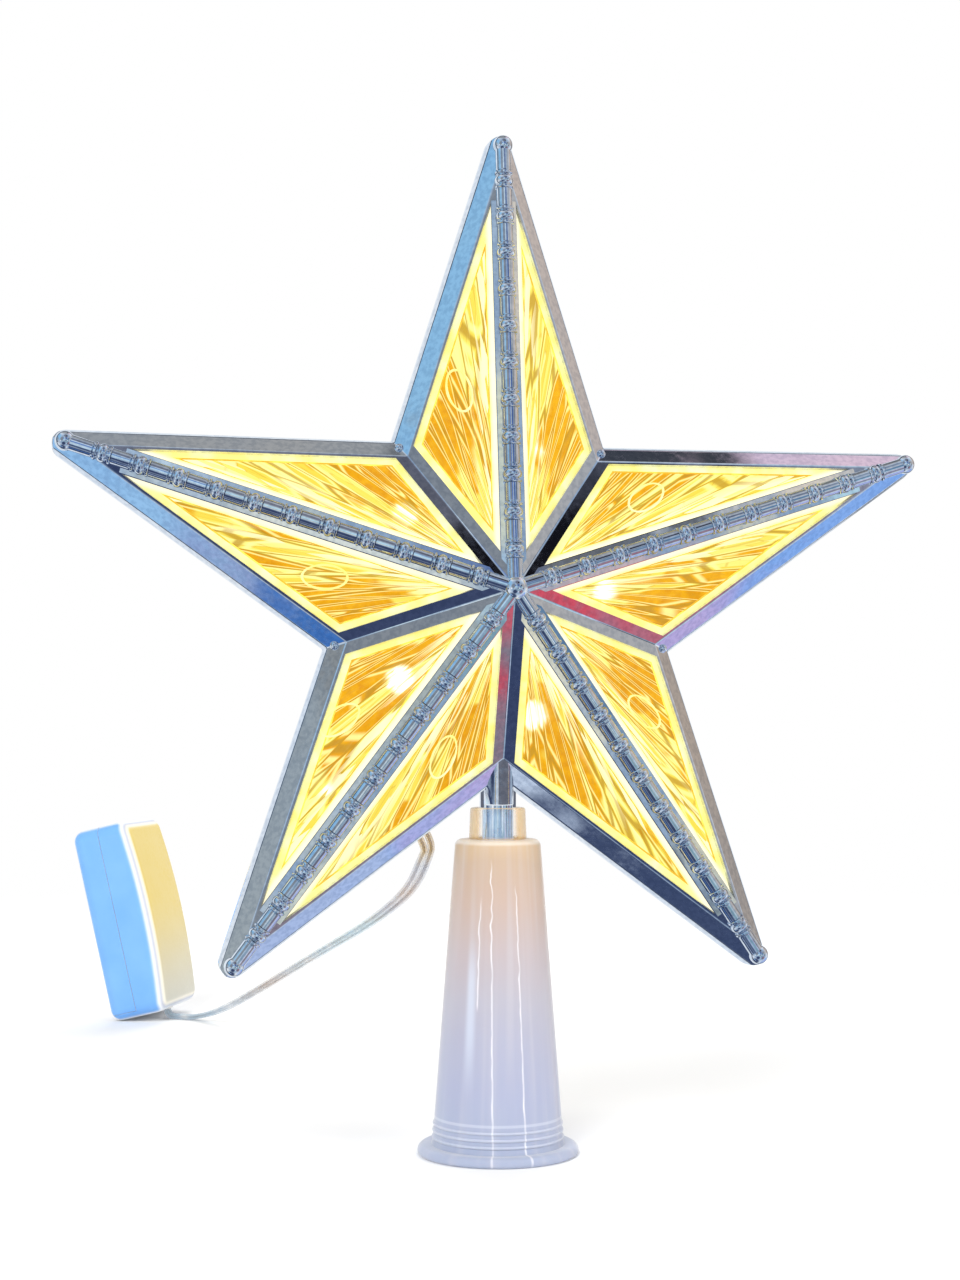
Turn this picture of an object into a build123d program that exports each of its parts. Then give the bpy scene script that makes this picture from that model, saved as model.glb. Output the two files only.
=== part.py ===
from build123d import *

import os
from math import atan2, cos, hypot, radians, sin, tan

# Lighted tree topper: a two-sided five-pointed star of chromed frames and amber panes,
# on a translucent cone that slips over the top of a tree, with a battery box on a twin lead.
# Millimetres. The cone stands on the floor at the origin, +Z is up and the star faces -Y.

# Star outline and relief, measured from the parting plane between its two halves
arm_count = 5
tip_radius = 110.1
inner_radius = 41.3
tip_round = 3.2
rim_height = 1.0
bevel_run = 3.8
bevel_rise = 4.9
apex_height = 18.5

# Windows and panes
ridge_rib = 6.2
valley_rib = 5.0
window_border = 0.6
pane_lip = 0.8
pane_lap = 1.0
pane_thickness = 1.1
pane_clearance = 0.1
pane_corner = 0.8

# Beaded rods along the ridges, the knob at the middle and the balls in the inner corners
rod_radius = 1.65
bead_radius = 2.2
bead_length = 2.7
bead_pitch = 8.4
bead_intervals = 12
ring_radius = 1.95
ring_length = 0.5
ring_gap = 0.4
rod_wrap = 240
knob_radius = 3.0
corner_ball_radius = 1.25
corner_ball_steps = (1, 3, 7, 9)

# Stem under the star, in two halves like the frames
stem_radius = 3.3
stem_exposed = 6.3
stem_insert = 15.0
fin_width = 10.2
fin_thickness = 0.6

# Pins that join the two halves inside the arm tips
pin_radius = 0.95
pin_fit = 0.05
pin_depth = 3.4
pin_from_tip = 11.6

# Lamps and the posts that carry them, inside the rear half
lamp_radius = 2.3
lamp_barrel = 5.0
lamp_rim = 0.3
lamp_rim_height = 0.8
lamp_seat = 4.0
post_width = 2.0
post_length = 4.0
# Half-arm steps anticlockwise from the top arm, and the radius as a share of the inner radius
lamp_place_shares = (
    (0, 1.09), (1, 0.65), (2, 0.97), (2, 1.65), (3, 0.68),
    (4, 0.87), (5, 0.68), (6, 0.85), (8, 0.63), (8, 1.40),
)

# Cone that slips over the tree, with the collar that holds the stem
mouth_radius = 13.0
mouth_length = 6.0
cone_wall = 1.4
cone_height = 69.0
flange_width = 3.4
flange_height = 2.2
flange_round = 0.7
collar_wall = 2.65
collar_height = 7.0
collar_round = 0.5
shoulder_width = 3.4
shoulder_thickness = 2.2
shoulder_round = 1.4
stem_fit = 0.2
ring_step = 1.5
ring_height = 0.35
foot_ring_count = 3

# Battery box on the lead, for two AA cells side by side
cell_radius = 7.1
cell_length = 49.2
nub_radius = 2.7
nub_height = 1.0
cell_spacing = 0.7
cell_side_room = 0.7
cell_face_room = 0.8
case_wall = 1.5
case_end = 2.0
case_round = 2.0
case_dome = 2.0
lid_gap = 0.15
contact_thickness = 0.4
contact_width = 11.0
spring_length = 7.0
spring_wide = 4.4
spring_narrow = 3.0
switch_width = 3.2
switch_depth = 1.5
switch_length = 9.0
switch_from_face = 0.7
switch_height_share = 0.62
knob_width = 3.0
knob_length = 4.5
knob_proud = 1.2
knob_neck_width = 1.6
knob_neck_length = 2.4
knob_travel = 3.0
knob_gap = 0.15

# Twin lead with a grommet at each end
strand_radius = 0.85
strand_spacing = 1.9
grommet_length = 5.2
grommet_width = 3.0
grommet_proud = 0.8
star_exit_from_crotch = 20.3
star_exit_height = 3.2
case_exit_inset = 3.2
case_exit_from_middle = 5.8
exit_run = 6.0
case_exit_run = 1.45
bend_share = 0.45

# Where the battery box stands: under its foot edge, its turn about the vertical and its lean
box_x = -65.0
box_y = 230.0
box_turn = -22.2
box_lean = 13.5

overrun = 1.0

# Sizes worked out from the ones above
wall = pane_lip + pane_thickness + pane_clearance
half_arm = radians(180 / arm_count)
inner_x = inner_radius * sin(half_arm)
inner_y = inner_radius * cos(half_arm)
edge_length = hypot(inner_x, tip_radius - inner_y)
edge_distance = tip_radius * inner_x / edge_length
edge_out = Vector(tip_radius - inner_y, inner_x, 0).normalized()
crease_distance = edge_distance - bevel_run
crease_height = rim_height + bevel_rise
crease_share = crease_distance / edge_distance
facet_slope = atan2(apex_height - crease_height, crease_distance)
bevel_slope = atan2(bevel_rise, bevel_run)
ridge_fall = edge_out.Y * tan(facet_slope)
valley_out = edge_out.X * sin(half_arm) + edge_out.Y * cos(half_arm)
valley_fall = valley_out * tan(facet_slope)
bore_radius = stem_radius + stem_fit
collar_radius = bore_radius + collar_wall
collar_top = cone_height + collar_height
star_height = collar_top + stem_exposed + inner_radius
front_plane = Plane((0, 0, star_height), x_dir=(1, 0, 0), z_dir=(0, -1, 0))
rear_plane = Plane((0, 0, star_height), x_dir=(-1, 0, 0), z_dir=(0, 1, 0))
os.makedirs("parts", exist_ok=True)


def save(piece, name):
    """Labels a finished piece and writes it to its own file."""
    piece.label = name
    export_step(piece, f"parts/{name}.step")


def arm_turn(step):
    """Turns a shape made on the top arm by half-arm steps about the star's middle."""
    return Location((0, 0, 0), (0, 0, step * 180 / arm_count))


# One arm of the star, pointing up, out of the parting plane towards +Z
def arm_block(inset, start):
    """An arm whose outer faces have moved inwards by the inset, from the start height up."""
    shrink = 1 - inset / edge_distance
    tip = (0, shrink * tip_radius)
    right = (shrink * inner_x, shrink * inner_y)
    left = (-shrink * inner_x, shrink * inner_y)
    with BuildPart() as block:
        with BuildSketch(Plane.XY.offset(start)) as outline:
            with BuildLine():
                Polyline((0, 0), right, tip, left, close=True)
            make_face()
            fillet(outline.vertices().sort_by(Axis.Y)[-1], shrink * tip_round)
        extrude(amount=apex_height - start)
        for side in (1, -1):
            for slope, distance, height in (
                (bevel_slope, edge_distance, rim_height),
                (facet_slope, crease_distance, crease_height),
            ):
                out = Vector(side * edge_out.X, edge_out.Y, 0)
                normal = out * sin(slope) + Vector(0, 0, cos(slope))
                foot = out * distance + Vector(0, 0, height)
                split(bisect_by=Plane(foot - normal * inset, z_dir=normal), keep=Keep.BOTTOM)
    return block.part


outer_arm = arm_block(0, 0)
hollow_arm = arm_block(wall, -overrun)

# Beaded rod wrapped over the ridge of the top arm, with a ball at the tip
ridge_way = Vector(0, 1, -ridge_fall).normalized()
ridge_plane = Plane((0, 0, apex_height), x_dir=ridge_way, z_dir=(1, 0, 0))
rod_length = bead_pitch * bead_intervals
half_bead = bead_length / 2
half_wrap = radians(rod_wrap / 2)
wrap_start = ridge_plane.y_dir * cos(half_wrap) - ridge_plane.z_dir * sin(half_wrap)
wrap_plane = Plane(ridge_plane.origin, x_dir=ridge_way, z_dir=ridge_way.cross(wrap_start))


def ring_line(start, ring_start):
    """A thin ring's section, from a point on the rod; returns the point where it ends."""
    ring_end = ring_start + ring_length
    Polyline(
        start,
        (ring_start, rod_radius),
        (ring_start, ring_radius),
        (ring_end, ring_radius),
        (ring_end, rod_radius),
    )
    return (ring_end, rod_radius)


with BuildPart() as beaded_rod:
    with BuildSketch(wrap_plane):
        with BuildLine():
            Line((0, 0), (0, rod_radius))
            last = (0, rod_radius)
            for number in range(1, bead_intervals):
                place = number * bead_pitch
                last = ring_line(last, place - half_bead - ring_gap - ring_length)
                Line(last, (place - half_bead, rod_radius))
                ThreePointArc(
                    (place - half_bead, rod_radius),
                    (place, bead_radius),
                    (place + half_bead, rod_radius),
                )
                last = ring_line((place + half_bead, rod_radius), place + half_bead + ring_gap)
            Polyline(last, (rod_length, rod_radius), (rod_length, 0), (0, 0))
        make_face()
    revolve(axis=Axis(ridge_plane.origin, ridge_way), revolution_arc=rod_wrap)
    with Locations(ridge_plane.origin + ridge_way * rod_length):
        Sphere(bead_radius)

# Right-hand facet of the top arm: its corners are the apex, the tip and the inner corner
facet_normal = edge_out * sin(facet_slope) + Vector(0, 0, cos(facet_slope))
facet_plane = Plane((0, 0, apex_height), x_dir=ridge_way, z_dir=facet_normal)
facet_corners = [
    facet_plane.to_local_coords(Vector(x, y, z))
    for x, y, z in (
        (0, 0, apex_height),
        (0, crease_share * tip_radius, crease_height),
        (crease_share * inner_x, crease_share * inner_y, crease_height),
    )
]


def inset_triangle(corners, insets):
    """Moves a triangle's sides inwards; each inset belongs to the side that leaves its corner."""
    moved = []
    for n, corner in enumerate(corners):
        ahead = (corners[(n + 1) % 3] - corner).normalized()
        behind = (corners[n - 1] - corner).normalized()
        spread = ahead.cross(behind).length
        shift = ahead * (insets[n - 1] / spread) + behind * (insets[n] / spread)
        moved.append((corner.X + shift.X, corner.Y + shift.Y))
    return moved


def facet_plate(lap, top, bottom):
    """A plate in the right-hand facet, its outline widened by the lap, between two depths."""
    insets = (ridge_rib / 2 - lap, window_border - lap, valley_rib / 2 - lap)
    with BuildPart() as plate:
        with BuildSketch(facet_plane.offset(-bottom)) as outline:
            Polygon(*inset_triangle(facet_corners, insets), align=None)
            fillet(outline.vertices(), pane_corner)
        extrude(amount=bottom - top)
    return plate.part


window = facet_plate(0, -overrun, wall + overrun)
pocket = facet_plate(pane_lap, pane_lip, wall + overrun)
right_pane = facet_plate(pane_lap - pane_clearance, pane_lip, pane_lip + pane_thickness)
left_pane = mirror(right_pane, about=Plane.YZ)
facet_cuts = [window, pocket, mirror(window, about=Plane.YZ), mirror(pocket, about=Plane.YZ)]

# Where the lead leaves: square to the rear bevel, on the lower edge of the lower left arm
edge_way = Vector(-sin(half_arm) * tip_radius, 0, inner_radius - cos(half_arm) * tip_radius).normalized()
edge_down = Vector(-edge_way.Z, 0, edge_way.X)
bevel_back = (star_exit_height - rim_height) / tan(bevel_slope)
crotch = Vector(0, 0, star_height - inner_radius)
star_exit = crotch + edge_way * star_exit_from_crotch - edge_down * bevel_back + Vector(0, star_exit_height, 0)
star_exit_way = edge_down * sin(bevel_slope) + Vector(0, cos(bevel_slope), 0)
star_exit_plane = Plane(star_exit, x_dir=-edge_way, z_dir=star_exit_way)

# Half of the star: a hollow shell with its windows, half of the stem and the ridge beads
pin_place = tip_radius - pin_from_tip
stem_top = -crease_share * inner_radius
stem_bottom = -inner_radius - stem_exposed - stem_insert
with BuildPart() as star_half:
    with PolarLocations(0, arm_count):
        add(outer_arm)
    with Locations(Location((0, stem_top, 0), (90, 0, 0))):
        Cylinder(
            stem_radius,
            stem_top - stem_bottom,
            arc_size=180,
            align=(Align.CENTER, Align.MIN, Align.MIN),
        )
    with Locations((0, stem_top, 0)):
        Box(
            fin_width,
            stem_exposed + inner_radius + stem_top,
            fin_thickness,
            align=(Align.CENTER, Align.MAX, Align.MIN),
        )
    with PolarLocations(0, arm_count):
        add([hollow_arm, *facet_cuts], mode=Mode.SUBTRACT)
    with PolarLocations(0, arm_count):
        with Locations((0, pin_place, 0)):
            Cylinder(pin_radius + pin_fit, 2 * pin_depth, mode=Mode.SUBTRACT)
    with Locations((0, 0, apex_height)):
        Sphere(knob_radius)
    with Locations([arm_turn(step) for step in corner_ball_steps]):
        with Locations((0, crease_share * inner_radius, crease_height)):
            Sphere(corner_ball_radius)
    with PolarLocations(0, arm_count):
        add(beaded_rod.part)

# Posts inside the rear half, one under each lamp
with BuildPart() as lamp_posts:
    for step, radius_share in lamp_place_shares:
        radius = radius_share * inner_radius
        fall = valley_fall if step % 2 else ridge_fall
        post_top = apex_height - fall * radius - wall / 2
        with Locations(arm_turn(-step)):
            with Locations((0, radius, lamp_seat)):
                Box(
                    post_width,
                    post_length,
                    post_top - lamp_seat,
                    align=(Align.CENTER, Align.CENTER, Align.MIN),
                )

# Chromed frames: the rear one also has the lamp posts and the hole for the lead
with BuildPart(front_plane) as front_frame:
    add(star_half.part)
save(front_frame.part, "front_frame")
with BuildPart(rear_plane) as rear_frame:
    add(star_half.part)
    add(lamp_posts.part)
    with BuildSketch(star_exit_plane.offset(overrun)):
        SlotOverall(grommet_length, grommet_width)
    extrude(amount=-wall - 2 * overrun, mode=Mode.SUBTRACT)
save(rear_frame.part, "rear_frame")

# Amber panes, ten on each side
for side, plane in (("front", front_plane), ("rear", rear_plane)):
    for number in range(2 * arm_count):
        with BuildPart(plane) as pane:
            with Locations(arm_turn(2 * (number // 2))):
                add(left_pane if number % 2 else right_pane)
        save(pane.part, f"{side}_pane_{number + 1}")

# Pins in the arm tips
for number in range(arm_count):
    with BuildPart(front_plane) as join_pin:
        with Locations(arm_turn(2 * number)):
            with Locations((0, pin_place, 0)):
                Cylinder(pin_radius, 2 * pin_depth)
    save(join_pin.part, f"join_pin_{number + 1}")

# Lamps on their posts, facing the front
for number, (step, radius_share) in enumerate(lamp_place_shares):
    with BuildPart(front_plane) as lamp:
        with Locations(arm_turn(step)):
            with Locations((0, radius_share * inner_radius, -lamp_seat)):
                Cylinder(
                    lamp_radius + lamp_rim,
                    lamp_rim_height,
                    align=(Align.CENTER, Align.CENTER, Align.MIN),
                )
                Cylinder(
                    lamp_radius,
                    lamp_rim_height + lamp_barrel,
                    align=(Align.CENTER, Align.CENTER, Align.MIN),
                )
                with Locations((0, 0, lamp_rim_height + lamp_barrel)):
                    Sphere(lamp_radius)
    save(lamp.part, f"lamp_{number + 1}")

# Cone base: flange, foot rings, cone, shoulder and collar in one moulding
foot_radius = mouth_radius + cone_wall
shoulder_radius = collar_radius + shoulder_width
with BuildPart() as cone_base:
    with BuildSketch(Plane.XZ):
        with BuildLine():
            Polyline(
                (mouth_radius, 0),
                (foot_radius + flange_width, 0),
                (foot_radius + flange_width, flange_height),
                (foot_radius, flange_height),
                (shoulder_radius, cone_height),
                (collar_radius, cone_height),
                (collar_radius, collar_top),
                (bore_radius, collar_top),
                (bore_radius, cone_height - shoulder_thickness),
                (shoulder_radius - cone_wall, cone_height - shoulder_thickness),
                (mouth_radius, mouth_length),
                close=True,
            )
        make_face()
        for number in range(foot_ring_count):
            ring_z = flange_height + ring_step * (number + 1)
            ring_x = foot_radius - (foot_radius - shoulder_radius) * ring_step * (number + 1) / (
                cone_height - flange_height
            )
            with Locations((ring_x, ring_z)):
                Circle(ring_height)
    revolve(axis=Axis.Z)
    circles = cone_base.edges().filter_by(GeomType.CIRCLE)
    shoulder_edge = circles.filter_by_position(Axis.Z, cone_height, cone_height).sort_by(SortBy.RADIUS)[-1]
    fillet(shoulder_edge, shoulder_round)
    circles = cone_base.edges().filter_by(GeomType.CIRCLE)
    fillet(circles.filter_by_position(Axis.Z, collar_top, collar_top).sort_by(SortBy.RADIUS)[-1], collar_round)
    circles = cone_base.edges().filter_by(GeomType.CIRCLE)
    flange_edges = circles.filter_by(lambda e: abs(e.radius - foot_radius - flange_width) < flange_round)
    fillet(flange_edges.filter_by_position(Axis.Z, flange_height, flange_height), flange_round)
save(cone_base.part, "cone_base")

# Battery box frame: X through its thickness, Y across its width, Z along its length
box_half = cell_radius + cell_face_room + case_wall
box_width = 4 * cell_radius + cell_spacing + 2 * (cell_side_room + case_wall)
cell_room = spring_length + cell_length + nub_height
box_length = cell_room + 2 * (contact_thickness + case_end)
lean = radians(box_lean)
box_height = box_half * sin(lean) - case_round * (sin(lean) + cos(lean) - 1)
box_y_way = Vector(0, 1, 0).rotate(Axis.Z, box_turn)
box_x_way = Vector(cos(lean), 0, sin(lean)).rotate(Axis.Z, box_turn)
box_plane = Plane((box_x, box_y, box_height), x_dir=box_x_way, z_dir=box_x_way.cross(box_y_way))
side_plane = Plane(box_plane.origin, x_dir=box_plane.x_dir, z_dir=-box_plane.y_dir)

with BuildPart() as box_block:
    with BuildSketch(side_plane):
        with BuildLine():
            Polyline((box_half, box_length), (-box_half, box_length), (-box_half, 0), (box_half, 0))
            ThreePointArc((box_half, 0), (box_half + case_dome, box_length / 2), (box_half, box_length))
        make_face()
    extrude(amount=box_width / 2, both=True)
    fillet(box_block.edges(), case_round)


def box_cavity(low, high, foot):
    """The room for the cells between two depths of the box, from the foot height up."""
    with BuildPart(box_plane) as cavity:
        with Locations(((low + high) / 2, 0, foot)):
            Box(
                high - low,
                box_width - 2 * case_wall,
                box_length - case_end - foot,
                align=(Align.CENTER, Align.CENTER, Align.MIN),
            )
    return cavity.part


# Where the switch sits: inside the rear narrow wall, in the corner beside a cell
switch_x = box_half - case_wall - switch_from_face - switch_width / 2
switch_z = switch_height_share * box_length
wall_inside = box_width / 2 - case_wall
case_exit_x = box_half - case_exit_inset
case_exit = box_plane.from_local_coords((case_exit_x, -case_exit_from_middle, 0))

# Case: the domed half with the foot wall
with BuildPart(box_plane) as battery_case:
    add(box_block.part.moved(box_plane.location.inverse()))
    add(box_cavity(0, box_half - case_wall, case_end).moved(box_plane.location.inverse()), mode=Mode.SUBTRACT)
    with Locations((0, 0, case_end)):
        Box(
            2 * box_half,
            box_width + overrun,
            box_length,
            align=(Align.MAX, Align.CENTER, Align.MIN),
            mode=Mode.SUBTRACT,
        )
    with Locations((switch_x, wall_inside + case_wall / 2, switch_z)):
        Box(
            knob_neck_width + 2 * knob_gap,
            case_wall + overrun,
            knob_neck_length + knob_travel + 2 * knob_gap,
            mode=Mode.SUBTRACT,
        )
    with BuildSketch(box_plane.offset(-overrun)):
        with Locations((case_exit_x, -case_exit_from_middle)):
            SlotOverall(grommet_length, grommet_width, rotation=90)
    extrude(amount=case_end + 2 * overrun, mode=Mode.SUBTRACT)
save(battery_case.part, "battery_case")

# Lid: the flat half, which slides up off the case
with BuildPart(box_plane) as battery_lid:
    add(box_block.part.moved(box_plane.location.inverse()))
    with Locations((-lid_gap, 0, -overrun)):
        Box(
            2 * box_half + case_dome,
            box_width + overrun,
            box_length + 2 * overrun,
            align=(Align.MIN, Align.CENTER, Align.MIN),
            mode=Mode.SUBTRACT,
        )
    with Locations((0, 0, case_end + lid_gap)):
        Box(
            4 * box_half,
            box_width + overrun,
            box_length,
            align=(Align.CENTER, Align.CENTER, Align.MAX),
            mode=Mode.SUBTRACT,
        )
    add(
        box_cavity(case_wall - box_half, overrun, 0).moved(box_plane.location.inverse()),
        mode=Mode.SUBTRACT,
    )
save(battery_lid.part, "battery_lid")

# Cells, one with its nub up and one with its nub down
cell_y = cell_radius + cell_spacing / 2
cell_low = case_end + contact_thickness
for name, side, nub_up in (("cell_a", -1, True), ("cell_b", 1, False)):
    can_foot = cell_low + spring_length if nub_up else cell_low + nub_height
    with BuildPart(box_plane) as cell:
        with Locations((0, side * cell_y, can_foot)):
            Cylinder(cell_radius, cell_length, align=(Align.CENTER, Align.CENTER, Align.MIN))
        with Locations((0, side * cell_y, can_foot + cell_length if nub_up else cell_low)):
            Cylinder(nub_radius, nub_height, align=(Align.CENTER, Align.CENTER, Align.MIN))
    save(cell.part, name)

# Contacts: a plate for each cell at the foot, a bridge at the top, and a spring for each cell
for name, side in (("contact_plate_a", -1), ("contact_plate_b", 1)):
    with BuildPart(box_plane) as contact_plate:
        with Locations((0, side * cell_y, case_end)):
            Box(
                contact_width,
                contact_width,
                contact_thickness,
                align=(Align.CENTER, Align.CENTER, Align.MIN),
            )
    save(contact_plate.part, name)
with BuildPart(box_plane) as contact_bridge:
    with Locations((0, 0, box_length - case_end)):
        Box(
            contact_width,
            contact_width + 2 * cell_y,
            contact_thickness,
            align=(Align.CENTER, Align.CENTER, Align.MAX),
        )
save(contact_bridge.part, "contact_bridge")
for name, side, foot, radii in (
    ("contact_spring_a", -1, cell_low, (spring_wide, spring_narrow)),
    ("contact_spring_b", 1, cell_low + nub_height + cell_length, (spring_narrow, spring_wide)),
):
    with BuildPart(box_plane) as contact_spring:
        with Locations((0, side * cell_y, foot)):
            Cone(*radii, spring_length, align=(Align.CENTER, Align.CENTER, Align.MIN))
    save(contact_spring.part, name)

# Slide switch behind the rear narrow wall, with its knob outside
with BuildPart(box_plane) as switch_body:
    with Locations((switch_x, wall_inside, switch_z)):
        Box(
            switch_width,
            switch_depth,
            switch_length,
            align=(Align.CENTER, Align.MAX, Align.CENTER),
        )
save(switch_body.part, "switch_body")
with BuildPart(box_plane) as switch_knob:
    with Locations((switch_x, wall_inside + knob_gap, switch_z - knob_travel / 2)):
        Box(
            knob_neck_width,
            case_wall + knob_proud - knob_gap,
            knob_neck_length,
            align=(Align.CENTER, Align.MIN, Align.CENTER),
        )
    with Locations((switch_x, wall_inside + case_wall + knob_gap, switch_z - knob_travel / 2)):
        Box(
            knob_width,
            knob_proud,
            knob_length,
            align=(Align.CENTER, Align.MIN, Align.CENTER),
        )
save(switch_knob.part, "switch_knob")

# Grommets where the lead leaves the star and enters the case
with BuildPart() as star_grommet:
    with BuildSketch(star_exit_plane.offset(grommet_proud)):
        SlotOverall(grommet_length, grommet_width)
    extrude(amount=-wall - 2 * grommet_proud)
save(star_grommet.part, "star_grommet")
with BuildPart() as case_grommet:
    with BuildSketch(box_plane):
        with Locations((case_exit_x, -case_exit_from_middle)):
            SlotOverall(grommet_length, grommet_width, rotation=90)
    extrude(amount=case_end)
save(case_grommet.part, "case_grommet")

# Twin lead: both strands follow one route of points chosen by hand, from the star to the box
lead_start = star_exit + star_exit_way * grommet_proud
lead_end_way = -box_plane.z_dir
lead_route = [
    lead_start,
    lead_start + star_exit_way * exit_run,
    Vector(-13.9, 14.0, 64.2),
    Vector(-14.0, 29.0, 56.8),
    Vector(-15.0, 52.0, 50.1),
    Vector(-17.1, 88.0, 41.5),
    Vector(-21.6, 127.0, 32.0),
    Vector(-28.9, 164.0, 21.1),
    Vector(-37.1, 187.0, 12.1),
    Vector(-45.3, 206.0, 4.4),
    Vector(-52.4, 217.1, 0.9),
    Vector(-57.5, 220.6, 0.9),
    Vector(-60.25, 221.8, 0.9),
    case_exit + lead_end_way * case_exit_run,
    case_exit,
]


def strand_points(side):
    """The lead's route moved sideways by half the spacing, level except at the star's exit."""
    points = []
    for n, point in enumerate(lead_route):
        if n < 2:
            across = -edge_way
        elif n > len(lead_route) - 3:
            across = box_plane.y_dir
        else:
            across = (lead_route[n + 1] - lead_route[n - 1]).cross(Vector(0, 0, 1)).normalized()
        points.append(point + across * (side * strand_spacing / 2))
    return points


def bend_radii(points):
    """For each inner point, an arc that takes up its share of the shorter run beside it."""
    radii = []
    for before, point, after in zip(points, points[1:], points[2:]):
        half_turn = radians((point - before).get_angle(after - point)) / 2
        radii.append(bend_share * min((point - before).length, (after - point).length) / tan(half_turn))
    return radii


for name, side in (("lead_strand_a", -1), ("lead_strand_b", 1)):
    points = strand_points(side)
    radii = bend_radii(points)
    with BuildPart() as strand:
        with BuildLine() as path:
            FilletPolyline(*points, radius=radii)
        with BuildSketch(Plane(points[0], z_dir=points[1] - points[0])):
            Circle(strand_radius)
        sweep(path=path.wires()[0])
    save(strand.part, name)
    section = Face(Wire(Edge.make_circle(strand_radius))).area
    print(name, "length", round(path.wires()[0].length, 1), "radii", [round(r, 1) for r in radii])
    print(name, "volume share", round(strand.part.volume / (section * path.wires()[0].length), 4))
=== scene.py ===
# %% [markdown]
# # A lighted star for the top of a tree
# The real thing is two chromed plastic frames, clipped back to back, with amber panes that glow from the small
# lamps inside. It stands on a milky cone, and a clear twin lead runs to a white battery box behind it.
# The construction comes from the CAD frame, in metres. This script dresses it, one piece at a time.

# %% Load the frame
from math import asin, atan2, cos, degrees, exp, hypot, pi, radians, sin, tan
from random import Random

import bmesh
import bpy
from mathutils import Matrix, Vector


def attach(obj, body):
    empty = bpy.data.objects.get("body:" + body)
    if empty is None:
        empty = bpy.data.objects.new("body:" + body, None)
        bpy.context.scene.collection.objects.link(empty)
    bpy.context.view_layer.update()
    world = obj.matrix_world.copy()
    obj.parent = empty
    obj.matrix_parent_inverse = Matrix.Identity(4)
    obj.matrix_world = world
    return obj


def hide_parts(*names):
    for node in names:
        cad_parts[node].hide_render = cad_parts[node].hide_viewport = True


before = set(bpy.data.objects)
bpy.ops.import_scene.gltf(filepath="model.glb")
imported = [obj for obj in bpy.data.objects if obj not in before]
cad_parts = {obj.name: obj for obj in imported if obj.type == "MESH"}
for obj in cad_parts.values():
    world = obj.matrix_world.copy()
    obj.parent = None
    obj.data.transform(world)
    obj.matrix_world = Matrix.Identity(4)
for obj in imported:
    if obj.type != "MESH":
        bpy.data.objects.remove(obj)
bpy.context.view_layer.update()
scene = bpy.context.scene
scene.view_settings.view_transform = "Standard"

# %% [markdown]
# ## Camera
# The star was photographed from a little to its left, at about half its height. The long side of the picture is
# the vertical one, so Blender's sensor width belongs to that side and the lens follows from it.

# %% Camera
camera_place = Vector((-0.0938, -0.4365, 0.0930))
camera_turn = radians(-11.62)
camera_pitch = radians(2.60)
sensor_size = 36.0
picture_height = 1280
focal_pixels = 2000

camera = bpy.data.objects.new("camera", bpy.data.cameras.new("camera"))
camera.data.sensor_width = sensor_size
camera.data.lens = sensor_size * focal_pixels / picture_height
camera.data.clip_start = 0.01
camera.location = camera_place
camera.rotation_euler = (pi / 2 + camera_pitch, 0, camera_turn)
scene.collection.objects.link(camera)
scene.camera = camera
print("lens", camera.data.lens)

# %% [markdown]
# ## Helpers for materials
# Each material starts from a Principled shader, and its patterns are read from the place on the object. Written out,
# node code is long and hard to follow, so small helpers add the nodes. Each gives back the socket that the next node
# needs, and takes numbers and linked sockets alike.


# %% Node helpers
def new_material(name):
    """A node material, with its tree and its Principled shader."""
    material = bpy.data.materials.new(name)
    material.use_nodes = True
    return material, material.node_tree, material.node_tree.nodes["Principled BSDF"]


def fill_inputs(tree, node, inputs):
    """Fills a node's inputs: a socket is linked, and any other value is set."""
    for key, value in inputs.items():
        if isinstance(value, bpy.types.NodeSocket):
            tree.links.new(value, node.inputs[key])
        else:
            node.inputs[key].default_value = value


def add_node(tree, kind, inputs=None, **settings):
    """Adds a node, sets its properties, and fills its inputs."""
    node = tree.nodes.new(kind)
    for key, value in settings.items():
        setattr(node, key, value)
    fill_inputs(tree, node, inputs or {})
    return node


def object_place(tree):
    """The place on the object, which the patterns are read from."""
    return tree.nodes.new("ShaderNodeTexCoord").outputs["Object"]


def split_axes(tree, vector):
    """The X, Y and Z of a vector."""
    return add_node(tree, "ShaderNodeSeparateXYZ", {0: vector}).outputs


def math_node(tree, operation, *values):
    """A Math node's output."""
    return add_node(tree, "ShaderNodeMath", dict(enumerate(values)), operation=operation).outputs[0]


def product(tree, first, second):
    """Two values multiplied, as where two masks meet."""
    return math_node(tree, "MULTIPLY", first, second)


def dot_node(tree, vector, way):
    """How far a vector goes along a direction."""
    return add_node(tree, "ShaderNodeVectorMath", {0: vector, 1: way}, operation="DOT_PRODUCT").outputs["Value"]


print("node helpers ready")


# %% Pattern helpers
def noise(tree, place, scale, detail=2.0):
    """A cloudy value between 0 and 1."""
    return add_node(tree, "ShaderNodeTexNoise", {"Vector": place, "Scale": scale, "Detail": detail}).outputs[0]


def smooth_step(tree, value, low, high):
    """A smooth mask that rises from 0 to 1 between two values."""
    inputs = {0: value, 1: low, 2: high, 3: 0.0, 4: 1.0}
    return add_node(tree, "ShaderNodeMapRange", inputs, interpolation_type="SMOOTHSTEP").outputs[0]


def smooth_band(tree, value, low, full, fading, high):
    """A mask that rises from low to full, and falls from fading to high."""
    return product(tree, smooth_step(tree, value, low, full), smooth_step(tree, value, high, fading))


def ramp_node(tree, factor, stops):
    """A colour ramp through the stops, each a place and a colour."""
    node = add_node(tree, "ShaderNodeValToRGB", {0: factor})
    elements = node.color_ramp.elements
    while len(elements) < len(stops):
        elements.new(1.0)
    for element, (place, colour) in zip(elements, stops):
        element.position = place
        element.color = (*colour, 1.0)
    return node.outputs[0]


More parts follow.
